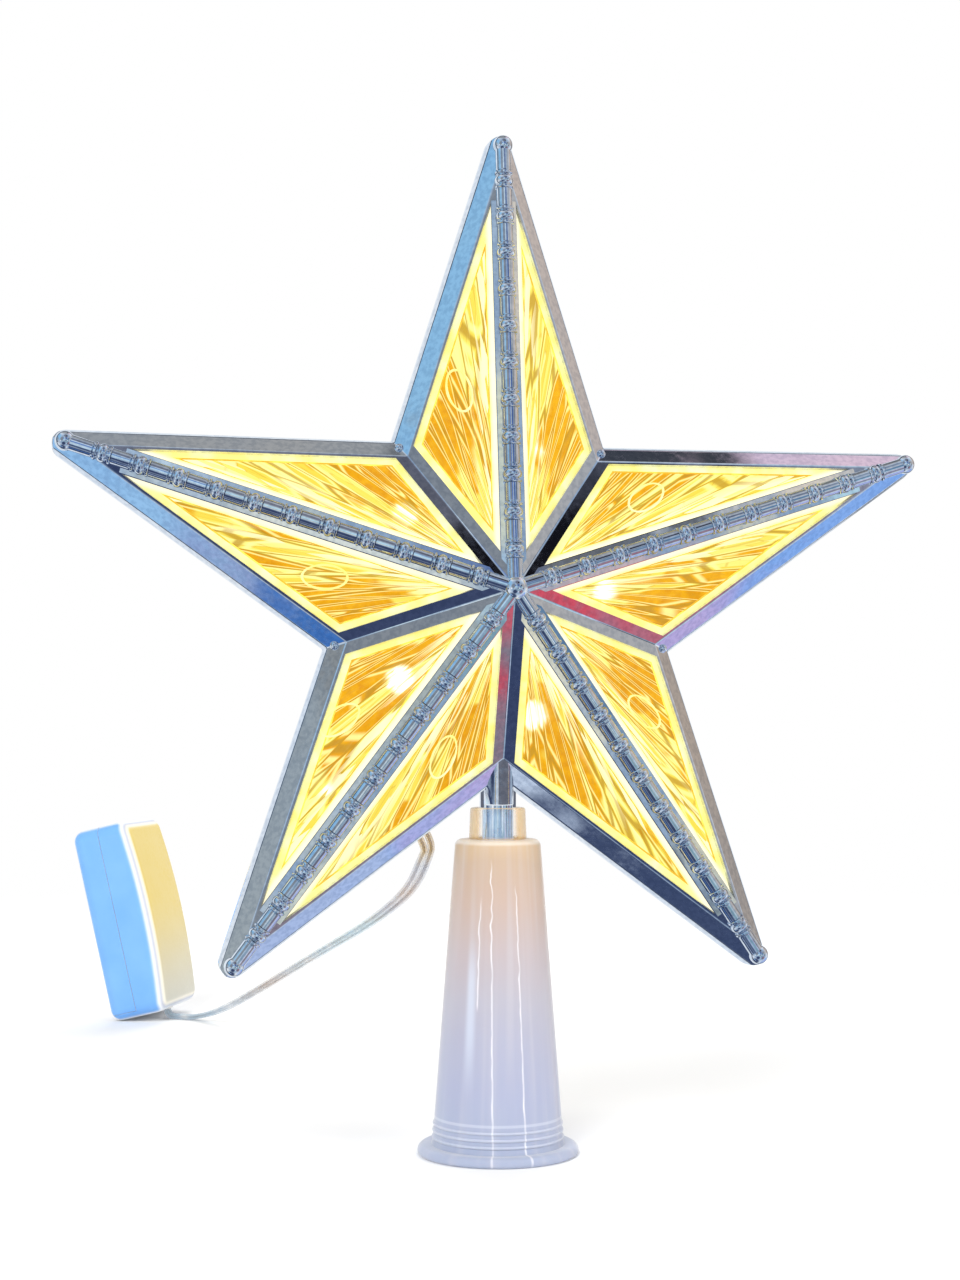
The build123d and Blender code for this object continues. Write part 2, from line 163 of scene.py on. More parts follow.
def mix_colour(tree, factor, first, second, blend="MIX"):
    """Mixes two colours by a factor."""
    node = add_node(tree, "ShaderNodeMix", {0: factor}, data_type="RGBA", blend_type=blend)
    for index, colour in ((6, first), (7, second)):
        linked = isinstance(colour, bpy.types.NodeSocket)
        fill_inputs(tree, node, {index: colour if linked else (*colour, 1.0)})
    return node.outputs[2]


def lay_over(tree, under, mask, strength, colour):
    """Lays a colour over another where a mask is, at a strength."""
    return mix_colour(tree, product(tree, mask, strength), under, colour)


def add_bump(tree, shader, height, strength, distance):
    """Bends a shader's normal by a height."""
    bump = add_node(tree, "ShaderNodeBump", {"Height": height, "Strength": strength, "Distance": distance})
    tree.links.new(bump.outputs[0], shader.inputs["Normal"])


print("pattern helpers ready")

# %% [markdown]
# ## A shared effect: handled surface
# Chrome, cone and box all come from a mould and have been handled. Their gloss is uneven and their surface waves
# a little. Each material could have its own noise for that, but one node group with its own scale and limits does it
# for all of them.

# %% Handled-surface node group
fine_ratio = 9.0


def handled_surface_group():
    """Puts out an uneven roughness and a gentle height, read from Object coordinates."""
    tree = bpy.data.node_groups.new("handled_surface", "ShaderNodeTree")
    for name, value in (("Scale", 60.0), ("Smooth", 0.05), ("Dull", 0.2)):
        socket = tree.interface.new_socket(name, in_out="INPUT", socket_type="NodeSocketFloat")
        socket.default_value = value
    for name in ("Roughness", "Height"):
        tree.interface.new_socket(name, in_out="OUTPUT", socket_type="NodeSocketFloat")
    given = tree.nodes.new("NodeGroupInput")
    result = tree.nodes.new("NodeGroupOutput")
    scale, smooth, dull = (given.outputs[name] for name in ("Scale", "Smooth", "Dull"))
    place = object_place(tree)
    broad = noise(tree, place, scale, 4.0)
    fine = noise(tree, place, product(tree, scale, fine_ratio), 2.0)
    uneven = smooth_step(tree, product(tree, broad, fine), 0.15, 0.38)
    span = math_node(tree, "SUBTRACT", dull, smooth)
    rough = math_node(tree, "MULTIPLY_ADD", uneven, span, smooth)
    fill_inputs(tree, result, {"Roughness": rough, "Height": noise(tree, place, scale, 0.0)})
    return tree


handled_surface = handled_surface_group()


def add_handled_surface(tree, shader, scale, smooth, dull, bump, distance):
    """Places the group in a material, on its roughness and its normal."""
    inputs = {"Scale": scale, "Smooth": smooth, "Dull": dull}
    group = add_node(tree, "ShaderNodeGroup", node_tree=handled_surface)
    fill_inputs(tree, group, inputs)
    tree.links.new(group.outputs["Roughness"], shader.inputs["Roughness"])
    add_bump(tree, shader, group.outputs["Height"], bump, distance)


print("node groups", [group.name for group in bpy.data.node_groups])

# %% [markdown]
# ## The twin lead
# Two clear strands run side by side from the back of the lower left arm, sag to the floor and go up into the foot
# of the box. Inside the clear sleeve of each strand lies a thin tinned wire. A sleeve of clear glass would be slow to
# render and dark at this size, so the sleeve is half see-through, with a painted tint that changes along the lead:
# painted amber glow from the star near its end, then blue and beige tones of painted reflection.

# %% Lead material
lead_reach = 0.222
sleeve, tree, shader = new_material("clear_sleeve")
place = object_place(tree)
along = math_node(tree, "DIVIDE", split_axes(tree, place)["Y"], lead_reach)
# Painted light along the lead: amber glow from the star near its end, then blue and beige painted reflections.
painted_light_tint = ramp_node(tree, along, (
    (0.04, (0.84, 0.56, 0.14)),
    (0.08, (0.66, 0.72, 0.86)),
    (0.16, (0.82, 0.64, 0.52)),
    (0.24, (0.62, 0.62, 0.72)),
    (0.36, (0.60, 0.84, 0.92)),
    (0.62, (0.58, 0.78, 0.90)),
    (0.78, (0.72, 0.64, 0.60)),
    (0.92, (0.52, 0.68, 0.82)),
))
streak = noise(tree, place, scale=110.0, detail=3.0)
fill_inputs(tree, shader, {
    "Base Color": mix_colour(tree, smooth_step(tree, streak, 0.45, 0.75), painted_light_tint, (0.93, 0.94, 0.95)),
    "Alpha": math_node(tree, "MULTIPLY_ADD", streak, 0.30, 0.28),
    "Roughness": 0.08,
    "IOR": 1.45,
    "Coat Weight": 0.4,
})

tinned, tree, shader = new_material("tinned_wire")
add_handled_surface(tree, shader, scale=300.0, smooth=0.25, dull=0.45, bump=0.1, distance=0.0002)
bright_and_brown = ((0.35, (0.62, 0.64, 0.68)), (0.65, (0.55, 0.40, 0.27)))
patina = ramp_node(tree, noise(tree, object_place(tree), scale=45.0), bright_and_brown)
fill_inputs(tree, shader, {"Base Color": patina, "Metallic": 1.0})
print("lead materials", sleeve.name, tinned.name)

# %% [markdown]
# ## Lead strands
# A lead is a smooth line. A chain of straight runs would look like bent wire, so each strand is one NURBS curve on the
# route's points, moved sideways by half the strands' spacing. The wire lies on the same line as its sleeve.

# %% Lead strands
strand_radius = 0.00085
strand_spacing = 0.0019
wire_radius = 0.00035
held_points = 2
star_edge_way = Vector((-0.8045, 0, -0.5939))
box_across = Vector((0.3778, 0.9259, 0))
lead_route = [Vector(point) for point in (
    (-0.01697, 0.00369, 0.07111),
    (-0.01415, 0.00737, 0.06729),
    (-0.0139, 0.0140, 0.0642),
    (-0.0140, 0.0290, 0.0568),
    (-0.0150, 0.0520, 0.0501),
    (-0.0171, 0.0880, 0.0415),
    (-0.0216, 0.1270, 0.0320),
    (-0.0289, 0.1640, 0.0211),
    (-0.0371, 0.1870, 0.0121),
    (-0.0453, 0.2060, 0.0044),
    (-0.0524, 0.2171, 0.0009),
    (-0.0575, 0.2206, 0.0009),
    (-0.06025, 0.2218, 0.0009),
    (-0.06130, 0.22222, 0.00182),
    (-0.06161, 0.22235, 0.00323),
)]


def strand_route(side):
    """The lead's route moved sideways, level except where it leaves the star and enters the box."""
    points = []
    for n, point in enumerate(lead_route):
        if n < held_points:
            across = -star_edge_way
        elif n >= len(lead_route) - held_points:
            across = box_across
        else:
            across = (lead_route[n + 1] - lead_route[n - 1]).cross(Vector((0, 0, 1))).normalized()
        points.append(point + across * (side * strand_spacing / 2))
    return points


def cord_curve(name, points, radius, material):
    """A round cord on one smooth open curve, riding on the star."""
    curve = bpy.data.curves.new(name, "CURVE")
    curve.dimensions = "3D"
    curve.bevel_depth = radius
    curve.bevel_resolution = 5
    curve.resolution_u = 12
    curve.use_fill_caps = True
    spline = curve.splines.new("NURBS")
    spline.points.add(len(points) - 1)
    for control, point in zip(spline.points, points):
        control.co = (*point, 1.0)
    spline.order_u = 3
    spline.use_endpoint_u = True
    curve.materials.append(material)
    cord = bpy.data.objects.new(name, curve)
    scene.collection.objects.link(cord)
    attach(cord, "star")
    return cord


for letter, side in (("a", -1), ("b", 1)):
    points = strand_route(side)
    strand = cord_curve(f"strand_{letter}", points, strand_radius, sleeve)
    wire = cord_curve(f"wire_{letter}", points, wire_radius, tinned)
    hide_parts(f"lead_strand_{letter}")
print("lead strands", len(lead_route), "points each")

# %% [markdown]
# ## Sizes of the star
# Everything on the star repeats around its middle, so it is worked out once in the star's own plane: X to the
# right, Y up the top arm and Z out of the parting plane. Two matrices then stand it up as the front and rear half.

# %% Star sizes
arm_count = 5
tip_radius = 0.1101
inner_radius = 0.0413
tip_round = 0.0032
rim_height = 0.0010
bevel_run = 0.0038
bevel_rise = 0.0049
strip_run = 0.0006
strip_rise = 0.0014
apex_height = 0.0185
ridge_rib = 0.0062
valley_rib = 0.0050
window_border = 0.0006
frame_wall = 0.0008
star_height = 0.1236

half_arm = pi / arm_count
inner_x = inner_radius * sin(half_arm)
inner_y = inner_radius * cos(half_arm)
edge_distance = tip_radius * inner_x / hypot(inner_x, tip_radius - inner_y)
crease_distance = edge_distance - bevel_run
crease_height = rim_height + bevel_rise
crease_share = crease_distance / edge_distance
edge_out = Vector((tip_radius - inner_y, inner_x, 0)).normalized()
facet_slope = atan2(apex_height - crease_height, crease_distance)
facet_normal = edge_out * sin(facet_slope) + Vector((0, 0, cos(facet_slope)))
ridge_way = Vector((0, crease_share * tip_radius, crease_height - apex_height)).normalized()
stand_front = Matrix(((1, 0, 0, 0), (0, 0, -1, 0), (0, 1, 0, star_height), (0, 0, 0, 1)))
stand_rear = Matrix(((-1, 0, 0, 0), (0, 0, 1, 0), (0, 1, 0, star_height), (0, 0, 0, 1)))
sides = (("front", stand_front), ("rear", stand_rear))
apex = Vector((0, 0, apex_height))
facet_corners = (
    apex,
    Vector((0, crease_share * tip_radius, crease_height)),
    Vector((crease_share * inner_x, crease_share * inner_y, crease_height)),
)
print("star facets slope", round(facet_slope, 3), "rad")

# %% [markdown]
# ## Helpers for shapes
# The pieces are moulded, so they are made as a mould maker would: blocks are drawn out, cut by planes, turned on a
# lathe and rounded. Each of those is a bmesh operator, here with the values that stay the same all through. At the
# end a mesh becomes an object, which is parented to the body it rides on, and the CAD nodes it stands for are hidden.

# %% Shape helpers
merge_distance = 1e-6


def of_kind(items, kind):
    """The verts, edges or faces among mixed items."""
    return [item for item in items if isinstance(item, kind)]


def cut_plane(bm, point, normal, faces=None, fill=False, **clear):
    """Cuts all of a mesh, or some faces, along a plane; it may clear one side and fill the cut."""
    geom = bm.verts[:] + bm.edges[:] + bm.faces[:]
    if faces is not None:
        geom = list(dict.fromkeys(item for face in faces for item in (face, *face.edges, *face.verts)))
    cut = bmesh.ops.bisect_plane(bm, geom=geom, dist=merge_distance, plane_co=point, plane_no=normal, **clear)
    rim = of_kind(cut["geom_cut"], bmesh.types.BMEdge)
    if fill and len(rim) > 2:
        bmesh.ops.edgeloop_fill(bm, edges=rim)


def round_edges(bm, edges, offset, segments):
    """Rounds edges off, and gives back the new faces."""
    return bmesh.ops.bevel(bm, geom=edges, offset=offset, offset_type="OFFSET", affect="EDGES", segments=segments,
                           profile=0.5, material=-1, clamp_overlap=True)["faces"]


def draw_out(bm, face, way):
    """Draws a face out along a vector, into a block."""
    grown = bmesh.ops.extrude_face_region(bm, geom=[face])
    bmesh.ops.translate(bm, verts=of_kind(grown["geom"], bmesh.types.BMVert), vec=way)


def turn_profile(bm, points, axis, steps, closed=False):
    """Turns a line of points about an axis, as a lathe does."""
    verts = [bm.verts.new(point) for point in points]
    ahead = verts[1:] + verts[:1] if closed else verts[1:]
    edges = [bm.edges.new(pair) for pair in zip(verts, ahead)]
    bmesh.ops.spin(bm, geom=verts + edges, cent=(0, 0, 0), axis=axis, angle=2 * pi, steps=steps, use_merge=True)


def inset_corners(corners, insets, normal):
    """Moves a triangle's sides inwards; each inset belongs to the side that leaves its corner."""
    moved = []
    for n, corner in enumerate(corners):
        ahead = (corners[(n + 1) % 3] - corner).normalized()
        behind = (corners[n - 1] - corner).normalized()
        spread = abs(ahead.cross(behind).dot(normal))
        moved.append(corner + ahead * (insets[n - 1] / spread) + behind * (insets[n] / spread))
    return moved


print("shape helpers ready")


# %% Piece helpers
def mesh_object(name, bm, *materials):
    """Turns a bmesh into an object of the scene."""
    mesh = bpy.data.meshes.new(name)
    bm.to_mesh(mesh)
    bm.free()
    for material in materials:
        mesh.materials.append(material)
    made = bpy.data.objects.new(name, mesh)
    scene.collection.objects.link(made)
    return made


def new_piece(name, bm, body, slot_name, *materials, stand=Matrix(), stands_for=(), smooth_angle=None):
    """Stands a bmesh in its place as a finished piece on a body; with an angle it is smooth up to there."""
    bmesh.ops.transform(bm, matrix=stand, verts=bm.verts)
    piece = mesh_object(name, bm, *materials)
    if smooth_angle is not None:
        piece.data.shade_smooth()
        piece.data.set_sharp_from_angle(angle=smooth_angle)
    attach(piece, body)
    if stands_for:
        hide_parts(*stands_for)
    print(name, len(piece.data.polygons), "faces")
    return piece


# %% [markdown]
# ## Chrome
# The frames are plastic with a bright vacuum coat. Chrome has almost no colour of its own: what shows is the
# studio around it, bent by a skin that is never quite flat. So the base is a cool bright grey that drifts
# slightly and has fine specks, the roughness is low but uneven, and a soft bump bends the reflections. The short
# stem waves less than the frames, so it has its own version.

# %% Chrome material
cool_greys = ((0.35, (0.76, 0.82, 0.90)), (0.65, (0.90, 0.91, 0.92)))
fine_specks = ((0.38, (0.80, 0.82, 0.85)), (0.60, (1.0, 1.0, 1.0)))


def chrome_material(name, bump):
    """Bright vacuum coat on plastic, over a skin that waves more or less."""
    material, tree, shader = new_material(name)
    add_handled_surface(tree, shader, scale=70.0, smooth=0.03, dull=0.12, bump=bump, distance=0.0012)
    place = object_place(tree)
    greys = ramp_node(tree, noise(tree, place, scale=28.0), cool_greys)
    specks = ramp_node(tree, noise(tree, place, scale=900.0, detail=3.0), fine_specks)
    coat = mix_colour(tree, 1.0, greys, specks, blend="MULTIPLY")
    fill_inputs(tree, shader, {"Base Color": coat, "Metallic": 1.0})
    return material


chrome = chrome_material("chrome", bump=0.28)
stem_chrome = chrome_material("stem_chrome", bump=0.05)
print("chrome ready")

# %% [markdown]
# ## Frame halves
# One arm is a convex block: a hull over its corners makes it, planes round off its tip, and its hidden faces go.
# Turned copies make the star, a small bevel softens every crease so that it catches a line of light, and the
# windows are cut out of the facets by three planes each. Last, the skin gets its wall. A boolean could cut the
# windows too, but planes leave cleaner faces for the chrome.

# %% Arm of the star
tip_cuts = 6
flat_angle = radians(1)
under_side = -0.5
upright = 0.01


def arm_skin():
    """The outer skin of one arm, pointing up, with its round tip."""
    bm = bmesh.new()
    strip_share = 1 - strip_run / edge_distance
    levels = ((1, 0), (1, rim_height), (strip_share, rim_height + strip_rise), (crease_share, crease_height))
    for share, height in levels:
        for x, y in ((0, tip_radius), (inner_x, inner_y), (-inner_x, inner_y)):
            bm.verts.new((share * x, share * y, height))
    bm.verts.new((0, 0, 0))
    bm.verts.new(apex)
    bmesh.ops.convex_hull(bm, input=bm.verts)
    bmesh.ops.dissolve_limit(bm, angle_limit=flat_angle, verts=bm.verts, edges=bm.edges)
    half_tip = atan2(inner_x, tip_radius - inner_y)
    middle = Vector((0, tip_radius - tip_round / sin(half_tip), 0))
    for n in range(-tip_cuts, tip_cuts + 1):
        angle = n * (pi / 2 - half_tip) / tip_cuts
        out = Vector((sin(angle), cos(angle), 0))
        cut_plane(bm, middle + out * tip_round, out, fill=True, clear_outer=True)
    bmesh.ops.recalc_face_normals(bm, faces=bm.faces)
    bm.normal_update()
    hidden = []
    for face in bm.faces:
        through_middle = abs(face.normal.dot(face.calc_center_median())) < merge_distance
        if face.normal.z < under_side or (abs(face.normal.z) < upright and through_middle):
            hidden.append(face)
    bmesh.ops.delete(bm, geom=hidden, context="FACES")
    return bm


def repeat_around(bm, count):
    """Copies everything in the bmesh around the star's middle."""
    first = bm.verts[:] + bm.edges[:] + bm.faces[:]
    for n in range(1, count):
        copy = bmesh.ops.duplicate(bm, geom=first)
        verts = of_kind(copy["geom"], bmesh.types.BMVert)
        bmesh.ops.rotate(bm, verts=verts, cent=(0, 0, 0), matrix=Matrix.Rotation(n * 2 * pi / count, 3, "Z"))
    bmesh.ops.remove_doubles(bm, verts=bm.verts, dist=merge_distance)


print("arm of", round(tip_radius * 1000, 1), "mm")

# %% Windows and frame halves
edge_soft = 0.00025
edge_segments = 2
crease_angle = radians(15)
tip_facet_area = 4e-6
same_way = 0.9999


def facet_faces(bm, turn, side):
    """The faces that lie in one facet of an arm."""
    back = turn.inverted()
    normal = turn @ Vector((side * facet_normal.x, facet_normal.y, facet_normal.z))
    found = []
    for face in bm.faces:
        middle = back @ face.calc_center_median()
        on_arm = side * middle.x > 0 and abs(atan2(middle.x, middle.y)) < half_arm
        if on_arm and face.normal.dot(normal) > same_way:
            found.append(face)
    return found


def cut_window(bm, turn, side):
    """Cuts a facet along the window's three sides and takes the middle out."""
    corners = [turn @ Vector((side * c.x, c.y, c.z)) for c in facet_corners]
    normal = turn @ Vector((side * facet_normal.x, facet_normal.y, facet_normal.z))
    inner = inset_corners(corners, (ridge_rib / 2, window_border, valley_rib / 2), normal)
    planes = []
    for n in range(3):
        way = (inner[(n + 1) % 3] - inner[n]).normalized()
        out = normal.cross(way)
        out = out if out.dot(inner[n - 1] - inner[n]) < 0 else -out
        planes.append((inner[n], out))
        cut_plane(bm, inner[n], out, faces=facet_faces(bm, turn, side))
    bm.normal_update()
    middle = [
        face
        for face in facet_faces(bm, turn, side)
        if all(out.dot(face.calc_center_median() - point) < 0 for point, out in planes)
    ]
    bmesh.ops.delete(bm, geom=middle, context="FACES")


def star_shell():
    """The chromed skin of half the star, with its windows and its wall."""
    bm = arm_skin()
    repeat_around(bm, arm_count)
    bm.normal_update()
    for face in bm.faces:
        face.smooth = face.calc_area() < tip_facet_area
    creases = [e for e in bm.edges if len(e.link_faces) == 2 and e.calc_face_angle() > crease_angle]
    for face in round_edges(bm, creases, edge_soft, edge_segments):
        face.smooth = True
    bm.normal_update()
    for n in range(arm_count):
        turn = Matrix.Rotation(n * 2 * half_arm, 3, "Z")
        for side in (1, -1):
            cut_window(bm, turn, side)
    bmesh.ops.solidify(bm, geom=bm.faces[:], thickness=frame_wall)
    bmesh.ops.recalc_face_normals(bm, faces=bm.faces)
    return bm


for name, stand in sides:
    new_piece(f"{name}_star_frame", star_shell(), "star", "chrome", chrome, stand=stand,
              stands_for=[f"{name}_frame"])

# %% [markdown]
# ## Beaded rods
# A rod of short cylinders runs down each ridge. Between two cylinders sits a round bead with a thin ring on either
# side, and a ball closes the tip. A lathe would turn that shape, so its profile is spun about the rod's own axis.
# A low rail lies along either side of the rod. It is flatter than the facet under it, so it shows as a pale line.

# %% Rod profile
rod_radius = 0.00172
bead_radius = 0.0021
bead_length = 0.0021
bead_pitch = 0.0084
bead_intervals = 12
bead_steps = 8
ring_radius = 0.00200
ring_length = 0.00055
ring_gap = 0.00035
end_soft = 0.00012
neck_depth = 0.00035


def rod_profile():
    """Distances along the rod and radii, from the star's middle to the tip."""
    neck = rod_radius - neck_depth
    points = [(0, rod_radius)]

    def add_ring(start):
        points.extend((
            (start - ring_gap / 2, rod_radius),
            (start - end_soft, neck),
            (start, ring_radius - end_soft),
            (start + end_soft, ring_radius),
            (start + ring_length - end_soft, ring_radius),
            (start + ring_length, ring_radius - end_soft),
            (start + ring_length + end_soft, neck),
        ))

    for number in range(1, bead_intervals):
        bead_start = number * bead_pitch - bead_length / 2
        add_ring(bead_start - ring_gap - ring_length)
        for step in range(bead_steps + 1):
            share = step / bead_steps
            radius = neck + (bead_radius - neck) * sin(pi * share) ** 0.5
            points.append((bead_start + share * bead_length, radius))
        add_ring(bead_start + bead_length + ring_gap)
        points.append((bead_start + bead_length + 2 * ring_gap + ring_length, rod_radius))
    points.append((bead_intervals * bead_pitch, rod_radius))
    return points


print("rod profile", len(rod_profile()), "points")

# %% Beaded rods
spin_steps = 24
tip_ball_radius = 0.0022
knob_radius = 0.0027
corner_ball_radius = 0.0011
corner_ball_reach = 0.0390
corner_ball_height = 0.0036
corner_ball_steps = (1, 3, 7, 9)
ball_segments = 24
ball_rings = 14
rail_inner = 0.0015
rail_outer = 0.00272
rail_start = 0.0050
rail_end = 0.0880
rail_lift = 0.00025
rail_slope = radians(9)
rod_smooth = radians(40)
ridge_out = ridge_way.cross(Vector((-1, 0, 0)))
facet_fall = facet_normal.angle(ridge_out)


def add_ball(bm, place, radius):
    """A small ball at a place in the star's plane."""
    bmesh.ops.create_uvsphere(bm, u_segments=ball_segments, v_segments=ball_rings, radius=radius,
                              matrix=Matrix.Translation(place))


def add_rail(bm, side):
    """A low wedge along one side of a rod, mitred near the knob and cut off near the tip."""
    edge_height = rail_lift - rail_outer * tan(facet_fall)
    inner_height = edge_height + (rail_outer - rail_inner) * tan(rail_slope)
    corners = ((rail_inner, inner_height), (rail_outer, edge_height), (rail_outer, edge_height - 2 * rail_lift))
    face = bm.faces.new([bm.verts.new((rail_start, side * across, height)) for across, height in corners])
    draw_out(bm, face, (rail_end - rail_start, 0, 0))
    for v in face.verts:
        v.co.x += (abs(v.co.y) - rail_inner) / tan(half_arm)


def rods_and_balls():
    """The rods of half a star with their rails, the balls at their ends, the knob and the corner balls."""
    bm = bmesh.new()
    turn_profile(bm, [(along, 0, radius) for along, radius in rod_profile()], (1, 0, 0), spin_steps)
    for end in (min, max):
        place = end(v.co.x for v in bm.verts)
        ring = [e for e in bm.edges if all(abs(v.co.x - place) < merge_distance for v in e.verts)]
        bmesh.ops.edgeloop_fill(bm, edges=ring)
    for side in (-1, 1):
        add_rail(bm, side)
    lay = Matrix((ridge_way, ridge_out.cross(ridge_way), ridge_out)).transposed().to_4x4()
    bmesh.ops.transform(bm, matrix=Matrix.Translation(apex) @ lay, verts=bm.verts)
    add_ball(bm, apex + ridge_way * (bead_intervals * bead_pitch), tip_ball_radius)
    repeat_around(bm, arm_count)
    add_ball(bm, apex, knob_radius)
    for step in corner_ball_steps:
        corner = Vector((0, corner_ball_reach, corner_ball_height))
        add_ball(bm, Matrix.Rotation(step * half_arm, 3, "Z") @ corner, corner_ball_radius)
    bmesh.ops.recalc_face_normals(bm, faces=bm.faces)
    return bm


for name, stand in sides:
    new_piece(f"{name}_beaded_rods", rods_and_balls(), "star", "chrome", chrome, stand=stand,
              smooth_angle=rod_smooth)

# %% [markdown]
# ## Stem
# The stem grows out of the lowest inner corner and plugs into the cone. Each half of the star carries half of it,
# with a thin flat fin on either side where the two halves meet. Above the cone it is deeper than it is wide, with a
# flat land down its front, so that it meets the corner in a pointed arch. Inside the cone it is round. So a cylinder
# is cut in half, stretched above the cone, and cut flat in front. The chrome above it doesn't mirror it.

# %% Stem
stem_radius = 0.0033
stem_exposed = 0.0063
stem_insert = 0.0150
stem_segments = 64
stem_soft = 0.0003
stem_soft_segments = 3
stem_smooth = radians(20)
fin_width = 0.0080
fin_thickness = 0.0006
fin_bottom = -inner_radius - stem_exposed
oval_lift = 0.0005
oval_foot = fin_bottom + oval_lift
oval_depth = 1.85
land_depth = 0.00575


def stem_half():
    """Half a stem with its share of the fins, below the star's middle."""
    top = -crease_share * inner_radius
    bottom = fin_bottom - stem_insert
    bm = bmesh.new()
    lay = Matrix.Translation((0, (top + bottom) / 2, 0)) @ Matrix.Rotation(pi / 2, 4, "X")
    bmesh.ops.create_cone(bm, cap_ends=True, segments=stem_segments, radius1=stem_radius, radius2=stem_radius,
                          depth=top - bottom, matrix=lay)
    rims = [e for e in bm.edges if abs(e.verts[0].co.y - e.verts[1].co.y) < merge_distance]
    round_edges(bm, rims, stem_soft, stem_soft_segments)
    cut_plane(bm, (0, 0, 0), (0, 0, 1), fill=True, clear_inner=True)
    for height in (oval_foot, oval_foot + stem_soft):
        cut_plane(bm, (0, height, 0), (0, 1, 0))
    for v in bm.verts:
        if v.co.y > oval_foot + stem_soft / 2:
            v.co.z *= oval_depth
    cut_plane(bm, (0, 0, land_depth), (0, 0, 1), fill=True, clear_outer=True)
    size = Matrix.Diagonal((fin_width, top - fin_bottom, fin_thickness, 1))
    place = Matrix.Translation((0, (top + fin_bottom) / 2, fin_thickness / 2))
    bmesh.ops.create_cube(bm, size=1, matrix=place @ size)
    bmesh.ops.recalc_face_normals(bm, faces=bm.faces)
    return bm


for name, stand in sides:
    stem = new_piece(f"{name}_stem", stem_half(), "star", "chrome", stem_chrome, stand=stand,
                     smooth_angle=stem_smooth)
    stem.visible_glossy = False

# %% [markdown]
# ## Amber panes and their painted glow
# Each pane is clear amber plastic with a sunburst moulded into it: long needles that all point at the star's
# middle. Lamps behind it make the field glow yellow, deeper amber towards the valleys, with a pale edge all round
# and white spots where a lamp stands close. Real lamps behind clear plastic would need far more light paths, so the
# panes glow themselves: all of this glow, the lamp spots and the bright streaks beside the rods are painted into
# their material as emission. The chrome beside them shows little of that glow, so mirror reflections see it dimmed.

# %% Pane patterns
star_middle = Vector((0, 0, star_height))
mirrored_share = 0.2


def star_polar(tree):
    """The angle around the star's middle, the distance from it in its plane, and the depth."""
    inputs = {"Vector": object_place(tree), "Location": -star_middle}
    axes = split_axes(tree, add_node(tree, "ShaderNodeMapping", inputs).outputs[0])
    x, z = axes["X"], axes["Z"]
    squares = math_node(tree, "ADD", product(tree, x, x), product(tree, z, z))
    return math_node(tree, "ARCTAN2", x, z), math_node(tree, "SQRT", squares), axes["Y"]


def ray_cells(tree, polar, rays, lengths):
    """Long cells that point at the middle: a random tone for each, and the distance to its edge."""
    angle, radius, depth = polar
    unrolled = add_node(tree, "ShaderNodeCombineXYZ", {
        0: product(tree, angle, rays),
        1: product(tree, radius, lengths),
        2: math_node(tree, "SIGN", depth),
    })
    inputs = {"Vector": unrolled.outputs[0], "Scale": 1.0}
    cells = add_node(tree, "ShaderNodeTexVoronoi", inputs)
    borders = add_node(tree, "ShaderNodeTexVoronoi", inputs, feature="DISTANCE_TO_EDGE")
    tone = add_node(tree, "ShaderNodeSeparateColor", {0: cells.outputs["Color"]}).outputs[0]
    return tone, borders.outputs["Distance"]


def beside_ridge(tree, polar):
    """The angle from the nearest ridge, and the distance from it."""
    angle, radius, _ = polar
    from_ridge = math_node(tree, "PINGPONG", angle, half_arm)
    return from_ridge, product(tree, radius, math_node(tree, "SINE", from_ridge))


def dim_in_mirrors(tree, glow, where=1.0):
    """A pane's glow, of which the chrome beside it mirrors only a part."""
    mirrored = tree.nodes.new("ShaderNodeLightPath").outputs["Is Glossy Ray"]
    weak = mix_colour(tree, 1.0, glow, (mirrored_share, mirrored_share, mirrored_share), blend="MULTIPLY")
    return mix_colour(tree, product(tree, mirrored, where), glow, weak)


print("pane patterns ready")

# %% Lit field of a pane
needle_rays, needle_lengths = 22.0, 38.0
fine_rays, fine_lengths = 70.0, 95.0
deep_ambers = ((0.30, (0.95, 0.50, 0.008)), (0.70, (0.78, 0.34, 0.003)))
pale_yellows = ((0.10, (0.97, 0.75, 0.09)), (0.45, (1.02, 0.88, 0.16)), (0.90, (1.06, 1.00, 0.34)))
needle_line = (0.52, 0.29, 0.025)
fine_needle_line = (0.62, 0.36, 0.03)
bright_needle_line = (1.2, 1.10, 0.45)
rod_glow_streak = (1.3, 1.24, 0.80)
streak_full, streak_end = 0.0045, 0.0085
lamp_halo = (1.25, 1.12, 0.40)
lamp_white = (1.45, 1.42, 1.25)


def needle_glow(tree, radius, from_ridge, tone, fine_tone):
    """Pale needles, with flat amber between them that gathers towards the valleys."""
    place = object_place(tree)
    patch = noise(tree, place, scale=60.0, detail=3.0)
    grain = noise(tree, place, scale=520.0, detail=4.0)
    to_valley = smooth_step(tree, from_ridge, 0.05, 0.50)
    outwards = smooth_step(tree, radius, 0.012, 0.034)
    valley_side = product(tree, to_valley, outwards)
    chance = math_node(tree, "MULTIPLY_ADD", tone, 0.72, product(tree, valley_side, 0.72))
    chance = math_node(tree, "ADD", chance, math_node(tree, "MULTIPLY_ADD", patch, 1.1, -0.55))
    mottle = math_node(tree, "ADD", grain, math_node(tree, "MULTIPLY_ADD", patch, 0.8, -0.4))
    pale = ramp_node(tree, fine_tone, pale_yellows)
    return mix_colour(tree, smooth_step(tree, chance, 0.56, 0.66), pale, ramp_node(tree, mottle, deep_ambers))


